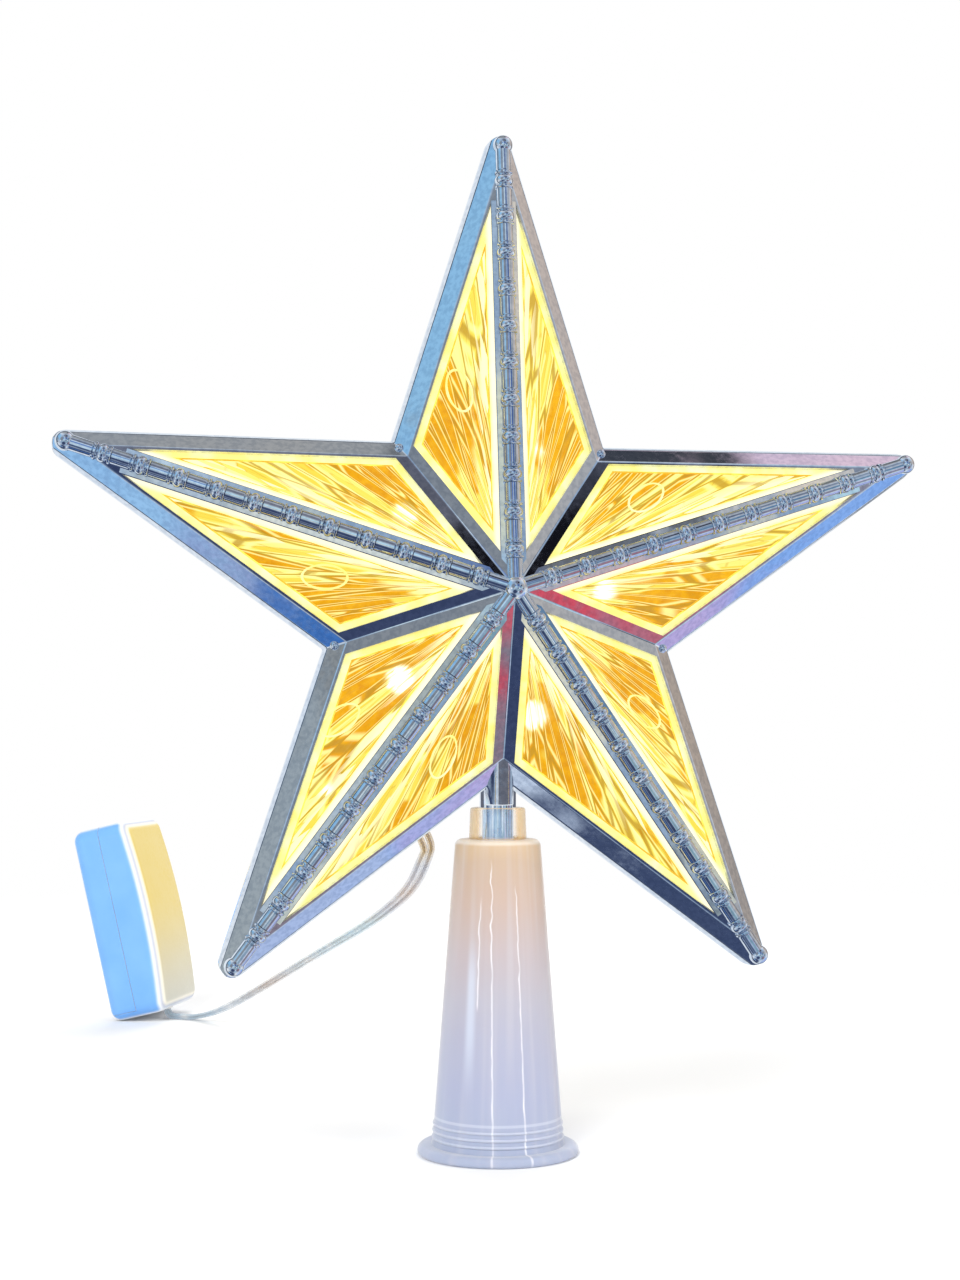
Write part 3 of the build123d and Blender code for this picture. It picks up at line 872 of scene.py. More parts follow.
def lit_pane_material():
    """The glowing field of a pane: the needles, the fine lines along them and the lamp spots."""
    material, tree, shader = new_material("lit_pane")
    polar = star_polar(tree)
    tone, border = ray_cells(tree, polar, needle_rays, needle_lengths)
    fine_tone, fine_border = ray_cells(tree, polar, fine_rays, fine_lengths)
    from_ridge, beside_rod = beside_ridge(tree, polar)
    _, radius, _ = polar
    glow = needle_glow(tree, radius, from_ridge, tone, fine_tone)

    glow = lay_over(tree, glow, smooth_step(tree, border, 0.055, 0.02), 0.75, needle_line)
    glow = lay_over(tree, glow, smooth_step(tree, fine_border, 0.05, 0.015), 0.38, fine_needle_line)
    glow = lay_over(tree, glow, smooth_band(tree, border, 0.05, 0.085, 0.10, 0.15), 0.75, bright_needle_line)

    # Painted glow: bright streaks along the sides of the rods.
    streak_room = smooth_step(tree, beside_rod, streak_end, streak_full)
    streak = product(tree, streak_room, smooth_step(tree, fine_tone, 0.55, 0.75))
    glow = lay_over(tree, glow, streak, 0.8, rod_glow_streak)

    spot = add_node(tree, "ShaderNodeAttribute", attribute_name="lamp_light").outputs["Fac"]
    broken = product(tree, spot, math_node(tree, "MULTIPLY_ADD", fine_tone, 1.1, 0.45))
    glow = lay_over(tree, glow, smooth_step(tree, spot, 0.08, 0.7), 0.6, lamp_halo)
    glow = mix_colour(tree, smooth_step(tree, broken, 0.28, 0.72), glow, lamp_white)

    fill_inputs(tree, shader, {
        "Emission Color": dim_in_mirrors(tree, glow),
        "Emission Strength": 0.80,
        "Base Color": mix_colour(tree, 1.0, glow, (0.22, 0.20, 0.12), blend="MULTIPLY"),
        "Roughness": 0.14,
        "IOR": 1.49,
        "Specular IOR Level": 0.3,
    })
    relief = math_node(tree, "MULTIPLY_ADD", smooth_step(tree, border, 0.0, 0.25), 0.7,
                       product(tree, fine_border, 0.6))
    add_bump(tree, shader, relief, strength=0.35, distance=0.0004)
    return material


lit_pane = lit_pane_material()
print("lit field", len(lit_pane.node_tree.nodes), "nodes")

# %% Edge and groove of a pane
edge_yellows = ((0.38, (1.0, 0.86, 0.24)), (0.55, (1.0, 0.94, 0.40)), (0.75, (1.0, 0.97, 0.62)))
groove_ambers = ((0.40, (0.60, 0.33, 0.02)), (0.62, (0.95, 0.62, 0.08)))
rod_side_glow = (1.05, 1.0, 0.82)
rod_side_full, rod_side_end = 0.0032, 0.0044


def pane_edge_material():
    """The bevelled edge of a pane, which gathers the light of the whole sheet."""
    material, tree, shader = new_material("pane_edge")
    ripple = noise(tree, object_place(tree), scale=160.0, detail=3.0)
    _, beside_rod = beside_ridge(tree, star_polar(tree))
    # Painted glow: the edge is whiter beside the rods.
    rod_side = smooth_step(tree, beside_rod, rod_side_end, rod_side_full)
    glow = lay_over(tree, ramp_node(tree, ripple, edge_yellows), rod_side, 0.75, rod_side_glow)
    fill_inputs(tree, shader, {
        "Emission Color": dim_in_mirrors(tree, glow, rod_side),
        "Emission Strength": 0.86,
        "Base Color": mix_colour(tree, 1.0, glow, (0.40, 0.38, 0.30), blend="MULTIPLY"),
        "Roughness": 0.15,
        "Coat Weight": 0.3,
        "Specular IOR Level": 0.3,
    })
    add_bump(tree, shader, ripple, strength=0.2, distance=0.0005)
    return material


def pane_groove_material():
    """The fine step between the bright edge and the field, where the plastic is seen edge on."""
    material, tree, shader = new_material("pane_groove")
    # The groove's amber is painted glow as well.
    glow = ramp_node(tree, noise(tree, object_place(tree), scale=240.0), groove_ambers)
    fill_inputs(tree, shader, {
        "Emission Color": glow,
        "Emission Strength": 0.55,
        "Base Color": glow,
        "Roughness": 0.2,
    })
    return material


pane_edge = pane_edge_material()
pane_groove = pane_groove_material()
print("pane edge and groove ready")

# %% [markdown]
# ## Pane shapes
# A pane is a thin triangle behind its window, with a raised border and a fine groove inside it. The sunburst could be
# bump alone, but real needles bend real reflections. So planes through the star's middle cut the field into rays,
# planes across cut these into steps, and every second ray is lifted in stretches. Each pane has its own seed, so no
# two are alike. Over some lamps a raised oval shows: a small ring, spun and then laid on the facet.

# %% Pane sheet
edge_index, field_index, groove_index = 0, 1, 2
pane_lip = 0.0008
pane_lap = 0.0009
pane_thickness = 0.0010
pane_border = 0.0015
border_rise = 0.00025
groove_width = 0.0003
groove_depth = 0.0002


def pane_sheet():
    """The flat sheet in the right-hand facet of the top arm, with its border and groove."""
    insets = (ridge_rib / 2 - pane_lap, window_border - pane_lap, valley_rib / 2 - pane_lap)
    corners = inset_corners(facet_corners, insets, facet_normal)
    bm = bmesh.new()
    face = bm.faces.new([bm.verts.new(corner - facet_normal * pane_lip) for corner in corners])
    face.normal_update()
    if face.normal.dot(facet_normal) < 0:
        face.normal_flip()
    steps = ((pane_lap, 0, edge_index), (pane_border, border_rise, edge_index),
             (groove_width, -groove_depth, groove_index))
    for width, rise, index in steps:
        ring = bmesh.ops.inset_individual(bm, faces=[face], thickness=width, depth=rise, use_even_offset=True)
        for ring_face in ring["faces"]:
            ring_face.material_index = index
    face.material_index = field_index
    return bm


print("pane sheet", round(pane_thickness * 1000, 1), "mm thick")

# %% Needles
needle_rise = 0.00034
ray_step = radians(1.05)
ray_wander = 0.22
ray_count = 34
cross_step = 0.0027
cross_wander = 0.3
cross_start = 0.008
cross_count = 36
stretch_starts = (0.012, 0.03)
stretch_lengths = (0.010, 0.036)
stretch_gaps = (0.001, 0.006)
stretch_rises = (0.5, 1.0)
pane_way = Vector((sin(half_arm / 2), cos(half_arm / 2), 0))


def cut_rays(bm, chance):
    """Cuts the field by planes through the star's middle and planes across, and gives back the rays' normals."""
    rays = []
    for n in range(ray_count + 1):
        angle = (n + chance.uniform(-ray_wander, ray_wander)) * ray_step
        rays.append(Vector((cos(angle), -sin(angle), 0)))
    planes = [(Vector((0, 0, 0)), normal) for normal in rays]
    for n in range(cross_count):
        distance = cross_start + (n + chance.uniform(-cross_wander, cross_wander)) * cross_step
        planes.append((pane_way * distance, pane_way))
    for point, normal in planes:
        cut_plane(bm, point, normal, faces=[f for f in bm.faces if f.material_index == field_index])
    return rays


def needle_stretches(chance):
    """For each ray, the stretches between which its needle stands up, and how far."""
    stretches = []
    for _ in range(ray_count + 1):
        start = chance.uniform(*stretch_starts)
        runs = []
        while start < tip_radius:
            length = chance.uniform(*stretch_lengths)
            runs.append((start, start + length, chance.uniform(*stretch_rises)))
            start += length + chance.uniform(*stretch_gaps)
        stretches.append(runs)
    return stretches


def raise_needles(bm, rays, stretches):
    """Lifts the points of every second ray where its needle stands."""
    rim = {v for e in bm.edges if len({f.material_index for f in e.link_faces}) > 1 for v in e.verts}
    for v in bm.verts:
        if v in rim or not all(f.material_index == field_index for f in v.link_faces):
            continue
        ray = next((n for n, normal in enumerate(rays) if abs(normal.dot(v.co)) < merge_distance), 0)
        if ray % 2 == 0:
            continue
        distance = hypot(v.co.x, v.co.y)
        for start, end, share in stretches[ray]:
            if start < distance < end:
                swell = sin(pi * (distance - start) / (end - start)) ** 0.5
                v.co += facet_normal * needle_rise * share * swell


def sunburst_pane(seed):
    """A pane in the right-hand facet of the top arm, with its needles raised."""
    chance = Random(seed)
    bm = pane_sheet()
    rays = cut_rays(bm, chance)
    raise_needles(bm, rays, needle_stretches(chance))
    bmesh.ops.triangulate(bm, faces=[f for f in bm.faces if f.material_index == field_index])
    bmesh.ops.solidify(bm, geom=bm.faces[:], thickness=pane_thickness)
    bmesh.ops.recalc_face_normals(bm, faces=bm.faces)
    return bm


print("sunburst of", ray_count, "rays in each pane")

# %% Lamp outlines
outline_length = 0.0048
outline_width = 0.0025
outline_tube = 0.00030
outline_steps = 36
outline_sections = 6
outline_swell = 2
lamp_outlines = {
    1: (-0.0103, 0.0441),
    3: (-0.0400, 0.0025),
    4: (-0.0364, -0.0283),
    5: (-0.0140, -0.0363),
    7: (0.0314, -0.0264),
    9: (0.0320, 0.0214),
}


def pane_height(place):
    """How high the panes lie over a place in the star's plane."""
    arm = round(atan2(-place.x, place.y) / (2 * half_arm)) * 2 * half_arm
    local = Matrix.Rotation(-arm, 3, "Z") @ place
    drop = (abs(local.x) * edge_out.x + local.y * edge_out.y) * tan(facet_slope)
    return apex_height - drop - pane_lip


def add_lamp_outline(bm, middle):
    """A raised oval over a lamp, its long side pointing at the star's middle."""
    before = set(bm.verts)
    turns = [2 * pi * n / outline_sections for n in range(outline_sections)]
    section = [(outline_width + outline_tube * cos(turn), 0, outline_tube * sin(turn)) for turn in turns]
    turn_profile(bm, section, (0, 0, 1), outline_steps, closed=True)
    outward = middle.normalized()
    aside = Vector((-outward.y, outward.x, 0))
    for v in set(bm.verts) - before:
        angle = atan2(v.co.y, v.co.x)
        way = outward * (cos(angle) * outline_length) + aside * (sin(angle) * outline_width)
        flat = middle + way + way.normalized() * (hypot(v.co.x, v.co.y) - outline_width)
        v.co = (flat.x, flat.y, pane_height(flat) + v.co.z * outline_swell)


print("lamp outlines on panes", list(lamp_outlines))

# %% Lamp light and panes
# Painted lamp spots: where and how strongly the lamps brighten the panes' painted glow.
spot_reach = 0.0027
lamp_spots = (
    (Vector((0.0060, -0.0271)), 1.15),
    (Vector((0.0212, 0.0003)), 1.0),
    (Vector((-0.0240, -0.0197)), 1.05),
    (Vector((-0.0230, 0.0160)), 0.9),
    (Vector((-0.0647, 0.0213)), 0.7),
    (Vector((0.0070, 0.0309)), 0.45),
    (Vector((-0.0397, -0.0433)), 0.45),
    (Vector((0.0216, -0.0359)), 0.45),
)


def add_lamp_light(piece):
    """Stores how strongly a lamp shines on each point of a pane."""
    light = piece.data.attributes.new("lamp_light", "FLOAT", "POINT")
    for v in piece.data.vertices:
        place = Vector((v.co.x, v.co.z - star_height))
        light.data[v.index].value = sum(
            strength * exp(-((place - spot).length / spot_reach) ** 2) for spot, strength in lamp_spots
        )


for name, stand in sides:
    for number in range(2 * arm_count):
        pane = sunburst_pane(seed=f"{name} {number}")
        mirror = Matrix.Diagonal((-1, 1, 1, 1)) if number % 2 else Matrix()
        turn = Matrix.Rotation(number // 2 * 2 * half_arm, 4, "Z")
        bmesh.ops.transform(pane, matrix=turn @ mirror, verts=pane.verts)
        if number in lamp_outlines:
            add_lamp_outline(pane, Vector((*lamp_outlines[number], 0)))
        bmesh.ops.recalc_face_normals(pane, faces=pane.faces)
        piece = new_piece(f"{name}_sunburst_{number + 1}", pane, "star", "amber_pane", pane_edge, lit_pane,
                          pane_groove, stand=stand, stands_for=[f"{name}_pane_{number + 1}"])
        add_lamp_light(piece)

# %% [markdown]
# ## Cone finish and painted light
# The cone is milky plastic. Its warm top, where the star shines into it, and its cool foot are painted light. Fine
# flow lines from the mould run down it, its foot rings catch light in painted highlights, and its clear collar is
# painted amber with the star's glow. Light that wanders inside such plastic would take long to trace, so a ramp over
# the height paints these tones, with a little subsurface and sheen.

# %% Cone sizes
mouth_radius = 0.0130
mouth_length = 0.0060
cone_wall = 0.0014
cone_height = 0.0690
flange_width = 0.0034
flange_height = 0.0022
flange_round = 0.0014
collar_inner = 0.0035
collar_outer = 0.00615
collar_top = 0.0760
collar_round = 0.0005
shoulder_radius = 0.00955
shoulder_thickness = 0.0022
shoulder_round = 0.0014
foot_ring_step = 0.0015
foot_ring_height = 0.00035
foot_ring_count = 3
print("cone", round(collar_top * 1000, 1), "mm tall")

# %% Cone colour
# Painted light over the height: cool at the foot, warm at the top where the star shines into the cone.
milk_light_tones = (
    (0.06, (0.44, 0.49, 0.64)),
    (0.20, (0.45, 0.48, 0.64)),
    (0.34, (0.48, 0.49, 0.62)),
    (0.50, (0.53, 0.51, 0.58)),
    (0.65, (0.58, 0.50, 0.51)),
    (0.81, (0.63, 0.48, 0.40)),
    (0.93, (0.64, 0.48, 0.35)),
    (1.00, (0.72, 0.53, 0.33)),
)
drag_white = (0.70, 0.68, 0.72)
ring_highlight = (0.86, 0.88, 0.95)
sheen_blue = (0.74, 0.82, 0.96)
sheen_angle = radians(-131)
sheen_band = (0.012, 0.030, 0.038, 0.050)


def cone_milk_and_light(tree, place, height, around):
    """The milky tones over the height, with a painted cool foot and warm top, and broad upright drags from the mould.
    """
    cloud = math_node(tree, "MULTIPLY_ADD", noise(tree, place, scale=45.0, detail=3.0), 0.10, -0.05)
    level = math_node(tree, "ADD", math_node(tree, "DIVIDE", height, cone_height), cloud)
    inputs = {0: product(tree, around, 4.0), 1: product(tree, height, 12.0)}
    upright = add_node(tree, "ShaderNodeCombineXYZ", inputs).outputs[0]
    drag = smooth_step(tree, noise(tree, upright, scale=1.0), 0.45, 0.75)
    return lay_over(tree, ramp_node(tree, level, milk_light_tones), drag, 0.30, drag_white)


def foot_rings(tree, height):
    """A mask of the lines of light on the foot rings."""
    start = flange_height + foot_ring_step
    ring = math_node(tree, "PINGPONG", math_node(tree, "SUBTRACT", height, start), foot_ring_step / 2)
    ring = smooth_step(tree, ring, foot_ring_step * 0.28, foot_ring_step * 0.12)
    band = (start - 0.0006, start - 0.0004, start + 0.0048, start + 0.0052)
    return product(tree, ring, smooth_band(tree, height, *band))


def side_sheen(tree, height, around):
    """A mask of the cool sheen on the left, at middle height."""
    beside = math_node(tree, "ABSOLUTE", math_node(tree, "SUBTRACT", around, sheen_angle))
    return product(tree, smooth_step(tree, beside, 0.14, 0.02), smooth_band(tree, height, *sheen_band))


print("cone colour in", len(milk_light_tones), "tones")

# %% Flow lines
flow_white = (0.95, 0.94, 0.97)
line_inner, line_outer = 0.007, 0.022
flow_lines = (
    (-106.5, -110.0, 0.0000, 0.0655),
    (-124.0, -123.0, 0.0330, 0.0575),
    (-77.5, -79.5, 0.0005, 0.0600),
    (22.0, 20.0, 0.0005, 0.0620),
    (95.0, 97.0, 0.0000, 0.0540),
    (158.0, 160.0, 0.0200, 0.0600),
)


def flow_line_mask(tree, place, height, around):
    """Fine wavy lines down the cone, each from a foot angle to a top angle, between two heights."""
    wander = noise(tree, place, scale=260.0, detail=1.0)
    sway = math_node(tree, "MULTIPLY_ADD", smooth_step(tree, height, 0.035, 0.060), 0.12, 0.03)
    sway = product(tree, math_node(tree, "SUBTRACT", wander, 0.5), sway)
    wavy = math_node(tree, "ADD", around, sway)
    lines = 0.0
    for foot_angle, top_angle, low, high in flow_lines:
        lean = radians(top_angle - foot_angle) / cone_height
        middle = math_node(tree, "MULTIPLY_ADD", height, lean, radians(foot_angle))
        beside = math_node(tree, "ABSOLUTE", math_node(tree, "SUBTRACT", wavy, middle))
        line = product(tree, smooth_step(tree, beside, line_outer, line_inner),
                       smooth_band(tree, height, low - 0.001, low + 0.001, high - 0.004, high))
        lines = math_node(tree, "MAXIMUM", line, lines)
    return product(tree, lines, math_node(tree, "MULTIPLY_ADD", wander, 0.8, 0.20))


print("flow lines", len(flow_lines))

# %% Cone material
shoulder_highlight = (0.96, 0.92, 0.86)
shoulder_band = (0.0677, 0.0684, 0.0689, 0.0691)
collar_glow_amber = (0.95, 0.60, 0.20)
clear_start, clear_full = cone_height - 0.0005, cone_height + 0.0008
cold_blues = ((0.35, (0.26, 0.55, 0.95)), (0.65, (0.42, 0.72, 1.00)))


def milky_cone_material():
    """Milky plastic with its marks, and the clear amber collar on top."""
    material, tree, shader = new_material("milky_cone")
    place = object_place(tree)
    axes = split_axes(tree, place)
    height = axes["Z"]
    around = math_node(tree, "ARCTAN2", axes["Y"], axes["X"])
    milk_and_light = cone_milk_and_light(tree, place, height, around)
    # Painted highlights: bright lines on the foot rings.
    milk_and_light = lay_over(tree, milk_and_light, foot_rings(tree, height), 0.32, ring_highlight)
    milk_and_light = mix_colour(tree, flow_line_mask(tree, place, height, around), milk_and_light, flow_white)
    milk_and_light = lay_over(tree, milk_and_light, side_sheen(tree, height, around), 0.5, sheen_blue)
    # Painted highlight: a thin bright line along the shoulder's top edge.
    milk_and_light = lay_over(tree, milk_and_light, smooth_band(tree, height, *shoulder_band), 0.5, shoulder_highlight)
    # The clear collar is painted amber with the star's glow.
    clearness = smooth_step(tree, height, clear_start, clear_full)
    turned_away = tree.nodes.new("ShaderNodeLayerWeight").outputs["Facing"]
    collar_film = math_node(tree, "MULTIPLY_ADD", smooth_step(tree, turned_away, 0.12, 0.36), 0.46, 0.04)
    solid = product(tree, math_node(tree, "SUBTRACT", 1.0, clearness), 0.92)
    add_handled_surface(tree, shader, scale=40.0, smooth=0.29, dull=0.31, bump=0.04, distance=0.0006)
    fill_inputs(tree, shader, {
        "Base Color": mix_colour(tree, clearness, milk_and_light, collar_glow_amber),
        "Alpha": math_node(tree, "MULTIPLY_ADD", clearness, collar_film, solid),
        "Subsurface Weight": 0.25,
        "Subsurface Radius": (0.004, 0.003, 0.003),
        "Sheen Weight": 0.60,
        "Sheen Roughness": 0.35,
        "Sheen Tint": (1.0, 0.93, 0.84, 1.0),
        "IOR": 1.49,
    })
    return material


def collar_bore_material():
    """The collar's bore, which takes on the cold light of the chromed stem."""
    material, tree, shader = new_material("collar_bore")
    cold = ramp_node(tree, noise(tree, object_place(tree), scale=300.0), cold_blues)
    fill_inputs(tree, shader, {"Base Color": cold, "Alpha": 0.36, "Roughness": 0.2})
    return material


cone_plastic = milky_cone_material()
collar_bore = collar_bore_material()
print("cone material", len(cone_plastic.node_tree.nodes), "nodes")

# %% [markdown]
# ## Cone shape
# The real cone is moulded, but it is round all over, so one closed profile is turned about its axis: the flange, three
# foot rings, the long wall, the shoulder and the collar outside, and the hollow inside. The chrome mirrors the studio
# around it and not the cone right under it.

# %% Cone shape
cone_steps = 128
cone_smooth = radians(30)


def arc(middle, radius, start, end, steps=5):
    """Points on an arc, from one angle to another in degrees."""
    angles = [radians(start + (end - start) * n / steps) for n in range(steps + 1)]
    return [(middle[0] + radius * cos(a), middle[1] + radius * sin(a)) for a in angles]


def cone_profile():
    """Radius and height around the whole section of the cone, outside first."""
    foot_radius = mouth_radius + cone_wall
    flange_radius = foot_radius + flange_width
    points = [(mouth_radius, 0.0), (flange_radius - flange_round / 2, 0.0)]
    points += arc((flange_radius - flange_round / 2, flange_round / 2), flange_round / 2, -90, 0)
    points += arc((flange_radius - flange_round, flange_height - flange_round), flange_round, 0, 90)
    lean = (foot_radius - shoulder_radius) / (cone_height - flange_height)
    points.append((foot_radius + foot_ring_height, flange_height))
    for number in range(1, foot_ring_count + 1):
        up = foot_ring_step * number
        points += arc((foot_radius - lean * up, flange_height + up), foot_ring_height, -80, 80, 4)
    points += arc((shoulder_radius - shoulder_round, cone_height - shoulder_round), shoulder_round, 3, 90)
    points.append((collar_outer + collar_round / 2, cone_height))
    points += arc((collar_outer - collar_round, collar_top - collar_round), collar_round, 0, 90)
    points += [
        (collar_inner, collar_top),
        (collar_inner, cone_height - shoulder_thickness),
        (shoulder_radius - cone_wall, cone_height - shoulder_thickness),
        (mouth_radius, mouth_length),
    ]
    return points


cone = bmesh.new()
turn_profile(cone, [(radius, 0, height) for radius, height in cone_profile()], (0, 0, 1), cone_steps, closed=True)
bmesh.ops.remove_doubles(cone, verts=cone.verts, dist=merge_distance)
bmesh.ops.recalc_face_normals(cone, faces=cone.faces)
for face in cone.faces:
    middle = face.calc_center_median()
    face.material_index = int(middle.z > cone_height and hypot(middle.x, middle.y) < collar_inner)
milky_cone = new_piece("milky_cone", cone, "base", "cone_plastic", cone_plastic, collar_bore,
                       stands_for=["cone_base"], smooth_angle=cone_smooth)
milky_cone.visible_glossy = False

# %% [markdown]
# ## Box finish and painted reflections
# The box is white plastic. In the photo its front wall mirrors a blue card and the dome a yellow one, with pale lines
# along the round edges between. Cards in the studio would tint other pieces too, so the material lays these tones
# where a face points along one of the box's own directions and lies on the side that has them.

# %% Box material
box_out = Vector((0.90029, -0.36740, 0.23345))
box_front = Vector((-0.37784, -0.92587, 0.0))
box_foot = Vector((-0.0650, 0.2300, 0.001783))
dome_reflection_tones = ((0.0, (0.65, 0.64, 0.56)), (1.0, (0.82, 0.65, 0.22)))
front_reflection_tones = ((0.3, (0.19, 0.45, 0.90)), (0.7, (0.22, 0.49, 0.93)))
round_edge_light_and_shade = (
    (0.20, (0.80, 0.84, 0.90)),
    (0.48, (0.93, 0.95, 0.98)),
    (0.70, (0.58, 0.61, 0.71)),
    (0.86, (0.96, 0.91, 0.78)),
)
lid_white = (0.80, 0.82, 0.86)


def box_material():
    """White plastic with a painted warm reflection on the dome, a painted cool one on the front wall, and painted
    highlights and shade on the round edges.
    """
    material, tree, shader = new_material("box_white")
    place = object_place(tree)
    facing = tree.nodes.new("ShaderNodeTexCoord").outputs["Normal"]
    from_foot = add_node(tree, "ShaderNodeMapping", {"Vector": place, "Location": -box_foot}).outputs[0]
    outward = dot_node(tree, facing, box_out)
    dome_side = smooth_step(tree, dot_node(tree, from_foot, box_out), 0.002, 0.006)
    front_side = smooth_step(tree, dot_node(tree, from_foot, box_front), 0.010, 0.013)

    # Painted highlights and lavender shade on the round edges of the dome side.
    plastic = mix_colour(tree, dome_side, lid_white, ramp_node(tree, outward, round_edge_light_and_shade))
    # Painted warm reflection on the dome, yellow at the top and greyer towards the foot.
    warm = ramp_node(tree, smooth_step(tree, split_axes(tree, place)["Z"], 0.002, 0.042), dome_reflection_tones)
    dome_reflection_part = product(tree, smooth_step(tree, outward, 0.86, 0.98), dome_side)
    plastic = mix_colour(tree, dome_reflection_part, plastic, warm)
    # Painted cool reflection on the front wall.
    cool = ramp_node(tree, noise(tree, place, scale=90.0, detail=3.0), front_reflection_tones)
    front_reflection_part = product(tree, smooth_step(tree, dot_node(tree, facing, box_front), 0.25, 0.70), front_side)
    front_reflection_part = product(tree, front_reflection_part, smooth_step(tree, outward, 0.55, 0.15))
    plastic = mix_colour(tree, front_reflection_part, plastic, cool)

    add_handled_surface(tree, shader, scale=120.0, smooth=0.30, dull=0.46, bump=0.05, distance=0.0004)
    fill_inputs(tree, shader, {
        "Base Color": plastic,
        "Subsurface Weight": 0.15,
        "Subsurface Radius": (0.002, 0.002, 0.002),
    })
    return material


box_white = box_material()
print("box material", len(box_white.node_tree.nodes), "nodes")

# %% [markdown]
# ## Box halves
# The box has two halves: a domed case with the foot wall, and a flat lid that slides up. A thin-walled moulding is
# drawn as one rounded block, cut at its parting planes, so both halves come from the same skin: an outline with its
# dome is extruded and bevelled, each half keeps its own faces, and solidify gives them the wall.

# %% Box skin
box_up = Vector((-0.21614, 0.08821, 0.97237))
box_half = 0.0094
box_width = 0.0335
box_length = 0.0620
case_dome = 0.0020
case_round = 0.0036
dome_steps = 12
round_steps = 8
box_stand = Matrix((box_out, -box_front, box_up)).transposed().to_4x4()
box_stand.translation = box_foot


def box_skin():
    """The rounded outer skin of the closed box, on its foot at the origin with the dome towards X."""
    dome_radius = ((box_length / 2) ** 2 + case_dome**2) / (2 * case_dome)
    dome_angle = degrees(asin(box_length / 2 / dome_radius))
    dome_middle = (box_half + case_dome - dome_radius, box_length / 2)
    outline = [(-box_half, 0.0), *arc(dome_middle, dome_radius, -dome_angle, dome_angle, dome_steps)]
    outline.append((-box_half, box_length))
    bm = bmesh.new()
    face = bm.faces.new([bm.verts.new((x, -box_width / 2, z)) for x, z in outline])
    draw_out(bm, face, (0, box_width, 0))
    bmesh.ops.recalc_face_normals(bm, faces=bm.faces)
    round_edges(bm, [e for e in bm.edges if e.calc_face_angle() > crease_angle], case_round, round_steps)
    bm.normal_update()
    for face in bm.faces:
        normal = face.normal
        face.smooth = max(abs(normal.y), abs(normal.z), -normal.x) < same_way
    return bm


print("box skin", [round(side * 1000, 1) for side in (2 * box_half + case_dome, box_width, box_length)], "mm")

# %% Box halves
case_wall = 0.0015
case_end = 0.0020
lid_gap = 0.00015
rim_soft = 0.00030
rim_segments = 2
rim_angle = radians(60)
round_angle = radians(40)
slot_middle = Vector((0.0056, 0.0384))
slot_half = Vector((0.00095, 0.00285))


def cut_box(bm, cuts, keep):
    """Cuts the skin along planes, each an axis and a place on it, and keeps the faces that are wanted."""
    for axis, place in cuts:
        normal = Vector((axis == "X", axis == "Y", axis == "Z"))
        cut_plane(bm, normal * place, normal)
    bmesh.ops.delete(bm, geom=[f for f in bm.faces if not keep(f.calc_center_median())], context="FACES")


def soften_rims(bm):
    """Rounds the sharp rims of a half a little, and keeps its broad faces and rounds apart in shading."""
    rims = [e for e in bm.edges if e.is_manifold and e.calc_face_angle() > rim_angle]
    rounded = set(round_edges(bm, rims, rim_soft, rim_segments))
    for face in rounded:
        face.smooth = True
    for edge in bm.edges:
        same_kind = len({face in rounded for face in edge.link_faces}) == 1
        edge.smooth = same_kind and edge.calc_face_angle(pi) < round_angle


def in_case(middle):
    """The domed half and the foot wall, without the slot for the switch in the rear wall."""
    across, up = abs(middle.x - slot_middle.x), abs(middle.z - slot_middle.y)
    in_slot = middle.y > box_width / 2 - case_round and across < slot_half.x and up < slot_half.y
    return (middle.x > 0 or middle.z < case_end) and not in_slot


def in_lid(middle):
    """The flat half above the foot wall."""
    return middle.x < -lid_gap and middle.z > case_end + lid_gap


slot_cuts = [("X", slot_middle.x + side * slot_half.x) for side in (-1, 1)]
slot_cuts += [("Z", slot_middle.y + side * slot_half.y) for side in (-1, 1)]
case_cuts = [("X", 0.0), ("Z", case_end), *slot_cuts]
lid_cuts = [("X", -lid_gap), ("Z", case_end + lid_gap)]
box_halves = (
    ("box_case", "star", "battery_case", case_cuts, in_case),
    ("box_lid", "battery_lid", "battery_lid", lid_cuts, in_lid),
)
for piece_name, body, node, cuts, keep in box_halves:
    half = box_skin()
    cut_box(half, cuts, keep)
    bmesh.ops.solidify(half, geom=half.faces[:], thickness=case_wall)
    bmesh.ops.recalc_face_normals(half, faces=half.faces)
    soften_rims(half)
    new_piece(piece_name, half, body, "box_plastic", box_white, stand=box_stand, stands_for=[node])

# %% [markdown]
# ## Small parts
# What is hidden or tiny keeps its CAD shape and gets a fitting finish: frosted lamps, dark switch, steel contacts,
# sleeved cells, clear grommets and the pins inside the arm tips. They could each have a material of their own, but
# at this size one mottled finish with other colours and gloss is enough.


# %% Small parts
def small_part(name, colours, smooth, dull, metallic=0.0, alpha=1.0, glow=None):
    """A mottled finish between two colours."""
    material, tree, shader = new_material(name)
    mottle = noise(tree, object_place(tree), scale=260.0, detail=3.0)
    colour = ramp_node(tree, mottle, ((0.35, colours[0]), (0.65, colours[1])))
    add_handled_surface(tree, shader, scale=220.0, smooth=smooth, dull=dull, bump=0.08, distance=0.0002)
    fill_inputs(tree, shader, {"Base Color": colour, "Metallic": metallic, "Alpha": alpha})
    if glow:
        fill_inputs(tree, shader, {"Emission Color": colour, "Emission Strength": glow})
    return material


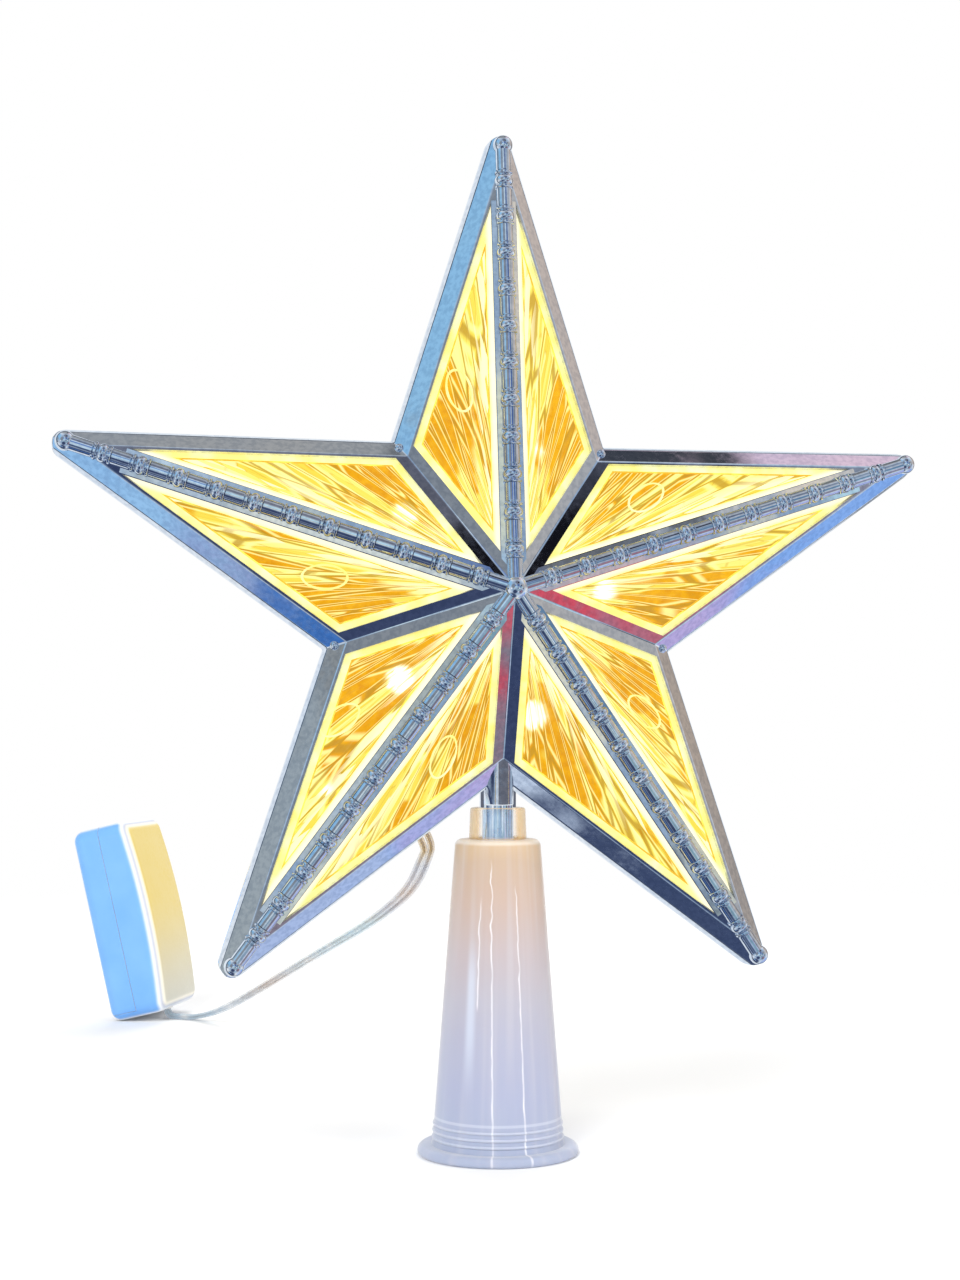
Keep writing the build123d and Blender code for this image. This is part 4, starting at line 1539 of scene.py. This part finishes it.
lamp_glow = small_part("lamp_glow", ((1.0, 0.93, 0.75), (1.0, 0.97, 0.88)), 0.2, 0.35, glow=2.0)
pin_grey = small_part("pin_grey", ((0.62, 0.62, 0.60), (0.72, 0.72, 0.70)), 0.4, 0.6)
contact_steel = small_part("contact_steel", ((0.55, 0.55, 0.54), (0.70, 0.70, 0.68)), 0.25, 0.45, metallic=1.0)
cell_sleeve = small_part("cell_sleeve", ((0.10, 0.11, 0.12), (0.16, 0.17, 0.18)), 0.25, 0.4)
switch_black = small_part("switch_black", ((0.025, 0.025, 0.028), (0.05, 0.05, 0.055)), 0.35, 0.55)
grommet_clear = small_part("grommet_clear", ((0.80, 0.80, 0.78), (0.90, 0.90, 0.88)), 0.15, 0.3, alpha=0.8)
finishes = {
    "lamp_": lamp_glow,
    "join_pin_": pin_grey,
    "contact_": contact_steel,
    "cell_": cell_sleeve,
    "switch_": switch_black,
    "star_grommet": grommet_clear,
    "case_grommet": grommet_clear,
}
finished = 0
for node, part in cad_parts.items():
    for start, material in finishes.items():
        if node.startswith(start):
            part.data.materials.clear()
            part.data.materials.append(material)
            finished += 1
print("small parts finished", finished)

# %% [markdown]
# ## Studio
# The floor is white and catches a soft shadow, and the background is white too, for the camera, for reflections and
# through clear plastic. A backdrop sheet would do the same, but the world needs no room. Three soft lamps light the
# set at a plain level.

# %% Floor and world
floor_size = 6.0
floor_full, floor_end = 0.40, 0.75
soft_light = 0.55

floor_white, tree, shader = new_material("floor_white")
away = add_node(tree, "ShaderNodeVectorMath", {0: object_place(tree)}, operation="LENGTH").outputs["Value"]
fill_inputs(tree, shader, {
    "Base Color": (0.93, 0.93, 0.93, 1.0),
    "Roughness": 0.9,
    "Specular IOR Level": 0.1,
    "Alpha": smooth_step(tree, away, floor_end, floor_full),
})
sheet = bmesh.new()
bmesh.ops.create_grid(sheet, x_segments=1, y_segments=1, size=floor_size)
floor = mesh_object("floor", sheet, floor_white)
floor.visible_glossy = False

world = bpy.data.worlds.new("studio")
scene.world = world
world.use_nodes = True
tree = world.node_tree
light_path = tree.nodes.new("ShaderNodeLightPath").outputs
seen = math_node(tree, "MAXIMUM", light_path["Is Camera Ray"], light_path["Is Glossy Ray"])
seen = math_node(tree, "MAXIMUM", seen, light_path["Is Transmission Ray"])
fill_inputs(tree, tree.nodes["Background"], {
    "Strength": math_node(tree, "MULTIPLY_ADD", seen, 1.0 - soft_light, soft_light),
    "Color": (1.0, 1.0, 1.0, 1.0),
})
print("white floor and world")

# %% Lamps
look_at = Vector((0, 0, 0.12))
studio_lamps = (
    ("key", (-0.7, -0.9, 1.0), 0.8, 14.0, (0.97, 0.98, 1.0)),
    ("fill", (0.9, -0.6, 0.6), 0.8, 6.0, (1.0, 0.98, 0.96)),
    ("back", (0.2, 1.0, 0.9), 0.9, 8.0, (1.0, 1.0, 1.0)),
)
for name, place, size, watts, colour in studio_lamps:
    data = bpy.data.lights.new(name, "AREA")
    data.size = size
    data.energy = watts
    data.color = colour
    lamp = bpy.data.objects.new(name, data)
    lamp.location = place
    lamp.rotation_euler = (look_at - Vector(place)).to_track_quat("-Z", "Y").to_euler()
    scene.collection.objects.link(lamp)
    lamp.visible_glossy = False
print("lamps", [lamp[0] for lamp in studio_lamps])

# %% [markdown]
# ## Reflection tent
# Chrome on pure white would vanish, so a large tent stands around the set, as a photographer's does. Only mirror
# reflections see it: soft patches of blue, grey, black, brown and rose that draw the facets. Cards and flags could be
# placed one by one, but patches on one sphere stay out of each other's way. Each has a direction, a spread in degrees
# and a colour, and a later one covers those before it.

# %% Tent patches
tent_patches = (
    # the wide front
    ((0.10, -0.99, 0.05), 95, (0.34, 0.46, 0.62)),
    # what the outer bevels mirror
    ((-0.85, -0.05, 0.53), 36, (0.30, 0.57, 0.84)),
    ((0.88, 0.34, 0.35), 34, (0.62, 0.52, 0.46)),
    ((0.05, 0.20, 0.98), 32, (0.37, 0.38, 0.39)),
    ((-0.40, -0.05, -0.92), 36, (0.06, 0.085, 0.17)),
    ((0.62, 0.20, -0.75), 28, (0.47, 0.58, 0.86)),
    ((0.83, 0.19, -0.53), 18, (0.27, 0.48, 0.94)),
    ((0.76, 0.19, -0.62), 9, (0.56, 0.46, 0.80)),
    ((-0.95, -0.05, 0.30), 14, (0.38, 0.43, 0.46)),
    ((-0.89, -0.05, 0.45), 5, (0.29, 0.31, 0.32)),
    ((0.93, 0.34, 0.15), 16, (0.46, 0.385, 0.33)),
    ((-0.66, -0.05, -0.75), 9, (0.36, 0.62, 0.92)),
    ((-0.60, -0.05, -0.80), 5, (0.32, 0.42, 0.70)),
    ((-0.53, -0.05, -0.85), 6, (0.06, 0.19, 0.54)),
    ((-0.455, -0.055, -0.889), 4.8, (0.60, 0.70, 0.87)),
    ((0.40, 0.18, 0.90), 12, (0.82, 0.62, 0.74)),
    ((0.24, 0.19, 0.952), 6.5, (0.06, 0.065, 0.08)),
    # what the facets mirror
    ((-0.52, -0.79, 0.32), 24, (0.25, 0.28, 0.32)),
    ((0.83, -0.48, 0.28), 24, (0.48, 0.47, 0.47)),
    ((0.12, -0.59, 0.80), 22, (0.20, 0.21, 0.27)),
    ((0.25, -0.60, 0.76), 8, (0.008, 0.008, 0.012)),
    ((-0.30, -0.78, -0.55), 24, (0.05, 0.07, 0.15)),
    ((0.62, -0.60, -0.51), 22, (0.27, 0.225, 0.28)),
    ((0.69, -0.59, -0.44), 4.5, (0.52, 0.20, 0.27)),
    ((0.652, -0.63, -0.428), 3.4, (0.74, 0.10, 0.15)),
    # what the front of each rod mirrors
    ((0.21, -0.87, 0.44), 13, (0.09, 0.16, 0.40)),
    ((-0.16, -0.97, 0.19), 14, (0.52, 0.78, 0.97)),
    ((-0.01, -0.97, -0.25), 12, (0.26, 0.38, 0.50)),
    ((0.43, -0.87, -0.23), 12, (0.24, 0.42, 0.48)),
    ((0.55, -0.82, 0.18), 13, (0.14, 0.25, 0.40)),
    # bright lines in the valleys
    ((-0.17, -0.79, 0.60), 6, (0.75, 0.90, 1.00)),
    ((-0.44, -0.89, -0.14), 6, (0.75, 0.92, 1.00)),
    ((0.22, -0.79, -0.58), 6, (0.90, 0.86, 1.00)),
    ((0.77, -0.62, -0.11), 6, (0.85, 0.72, 0.95)),
    # what the flanks of the rods mirror
    ((-0.26, -0.87, 0.41), 9, (0.16, 0.26, 0.60)),
    ((0.65, -0.66, 0.38), 7, (0.03, 0.04, 0.10)),
    ((0.75, -0.66, 0.08), 9, (0.50, 0.74, 0.87)),
    ((-0.35, -0.93, 0.05), 6, (0.80, 0.92, 1.00)),
    ((0.50, -0.69, -0.53), 6, (0.04, 0.05, 0.10)),
    ((-0.02, -0.86, -0.51), 8, (0.05, 0.07, 0.13)),
    # bright and dark stripes on the stem
    ((-0.67, 0.74, -0.03), 12, (0.72, 0.88, 0.95)),
    ((-1.00, -0.07, -0.03), 9, (0.07, 0.08, 0.10)),
    ((-0.79, -0.62, -0.03), 9, (0.95, 0.98, 1.00)),
    ((0.21, -0.98, -0.02), 6, (0.15, 0.16, 0.20)),
    ((0.41, -0.91, -0.03), 7, (0.95, 0.98, 1.00)),
    ((0.85, -0.52, -0.03), 7, (0.07, 0.08, 0.10)),
    ((0.98, 0.17, -0.03), 14, (0.92, 0.95, 1.00)),
    # what the rails beside the rods mirror
    ((-0.22, -0.97, 0.055), 4.5, (0.45, 0.50, 0.48)),
    ((-0.21, -0.975, -0.075), 5, (0.80, 0.84, 0.78)),
    ((-0.295, -0.955, -0.01), 3, (0.55, 0.62, 0.64)),
    ((-0.08, -0.89, 0.445), 4, (0.70, 0.74, 0.60)),
    ((0.385, -0.79, 0.475), 4.5, (0.16, 0.17, 0.19)),
    ((0.47, -0.715, 0.52), 4, (0.75, 0.68, 0.59)),
    ((0.14, -0.945, -0.28), 4, (0.85, 0.82, 0.64)),
    ((0.26, -0.87, -0.415), 3.5, (0.18, 0.23, 0.28)),
    ((0.185, -0.885, -0.43), 3, (0.70, 0.74, 0.66)),
    ((0.67, -0.74, -0.055), 3.2, (0.74, 0.71, 0.56)),
    ((0.565, -0.82, -0.055), 3.2, (0.65, 0.52, 0.54)),
)
print("tent patches", len(tent_patches))

# %% Reflection tent
tent_radius = 2.0
tent_cloth = (0.86, 0.91, 0.97)
hoop_way = (-0.24, 1.0, 0.0)
hoop_band = (0.30, 0.38, 0.50, 0.60)
hoop_colour = (0.05, 0.07, 0.11)


def tent_material():
    """Glowing cloth with its patches, and the dark hoop that stands behind the star."""
    material = bpy.data.materials.new("tent_cloth")
    material.use_nodes = True
    material.cycles.emission_sampling = "NONE"
    tree = material.node_tree
    tree.nodes.clear()
    way = add_node(tree, "ShaderNodeVectorMath", {0: object_place(tree)}, operation="NORMALIZE").outputs[0]
    cloth = tent_cloth
    for direction, spread, colour in tent_patches:
        near = dot_node(tree, way, Vector(direction).normalized())
        mask = smooth_step(tree, near, cos(radians(spread)), cos(radians(spread / 2)))
        cloth = mix_colour(tree, mask, cloth, colour)
    hoop = smooth_band(tree, dot_node(tree, way, hoop_way), *hoop_band)
    cloth = mix_colour(tree, hoop, cloth, hoop_colour)
    emission = add_node(tree, "ShaderNodeEmission", {"Color": cloth, "Strength": 1.0})
    add_node(tree, "ShaderNodeOutputMaterial", {"Surface": emission.outputs[0]})
    return material


sphere = bmesh.new()
bmesh.ops.create_uvsphere(sphere, u_segments=64, v_segments=32, radius=tent_radius)
tent = mesh_object("reflection_tent", sphere, tent_material())
for ray in ("camera", "diffuse", "transmission", "shadow", "volume_scatter"):
    setattr(tent, f"visible_{ray}", False)
print("reflection tent", len(tent.data.polygons), "faces")
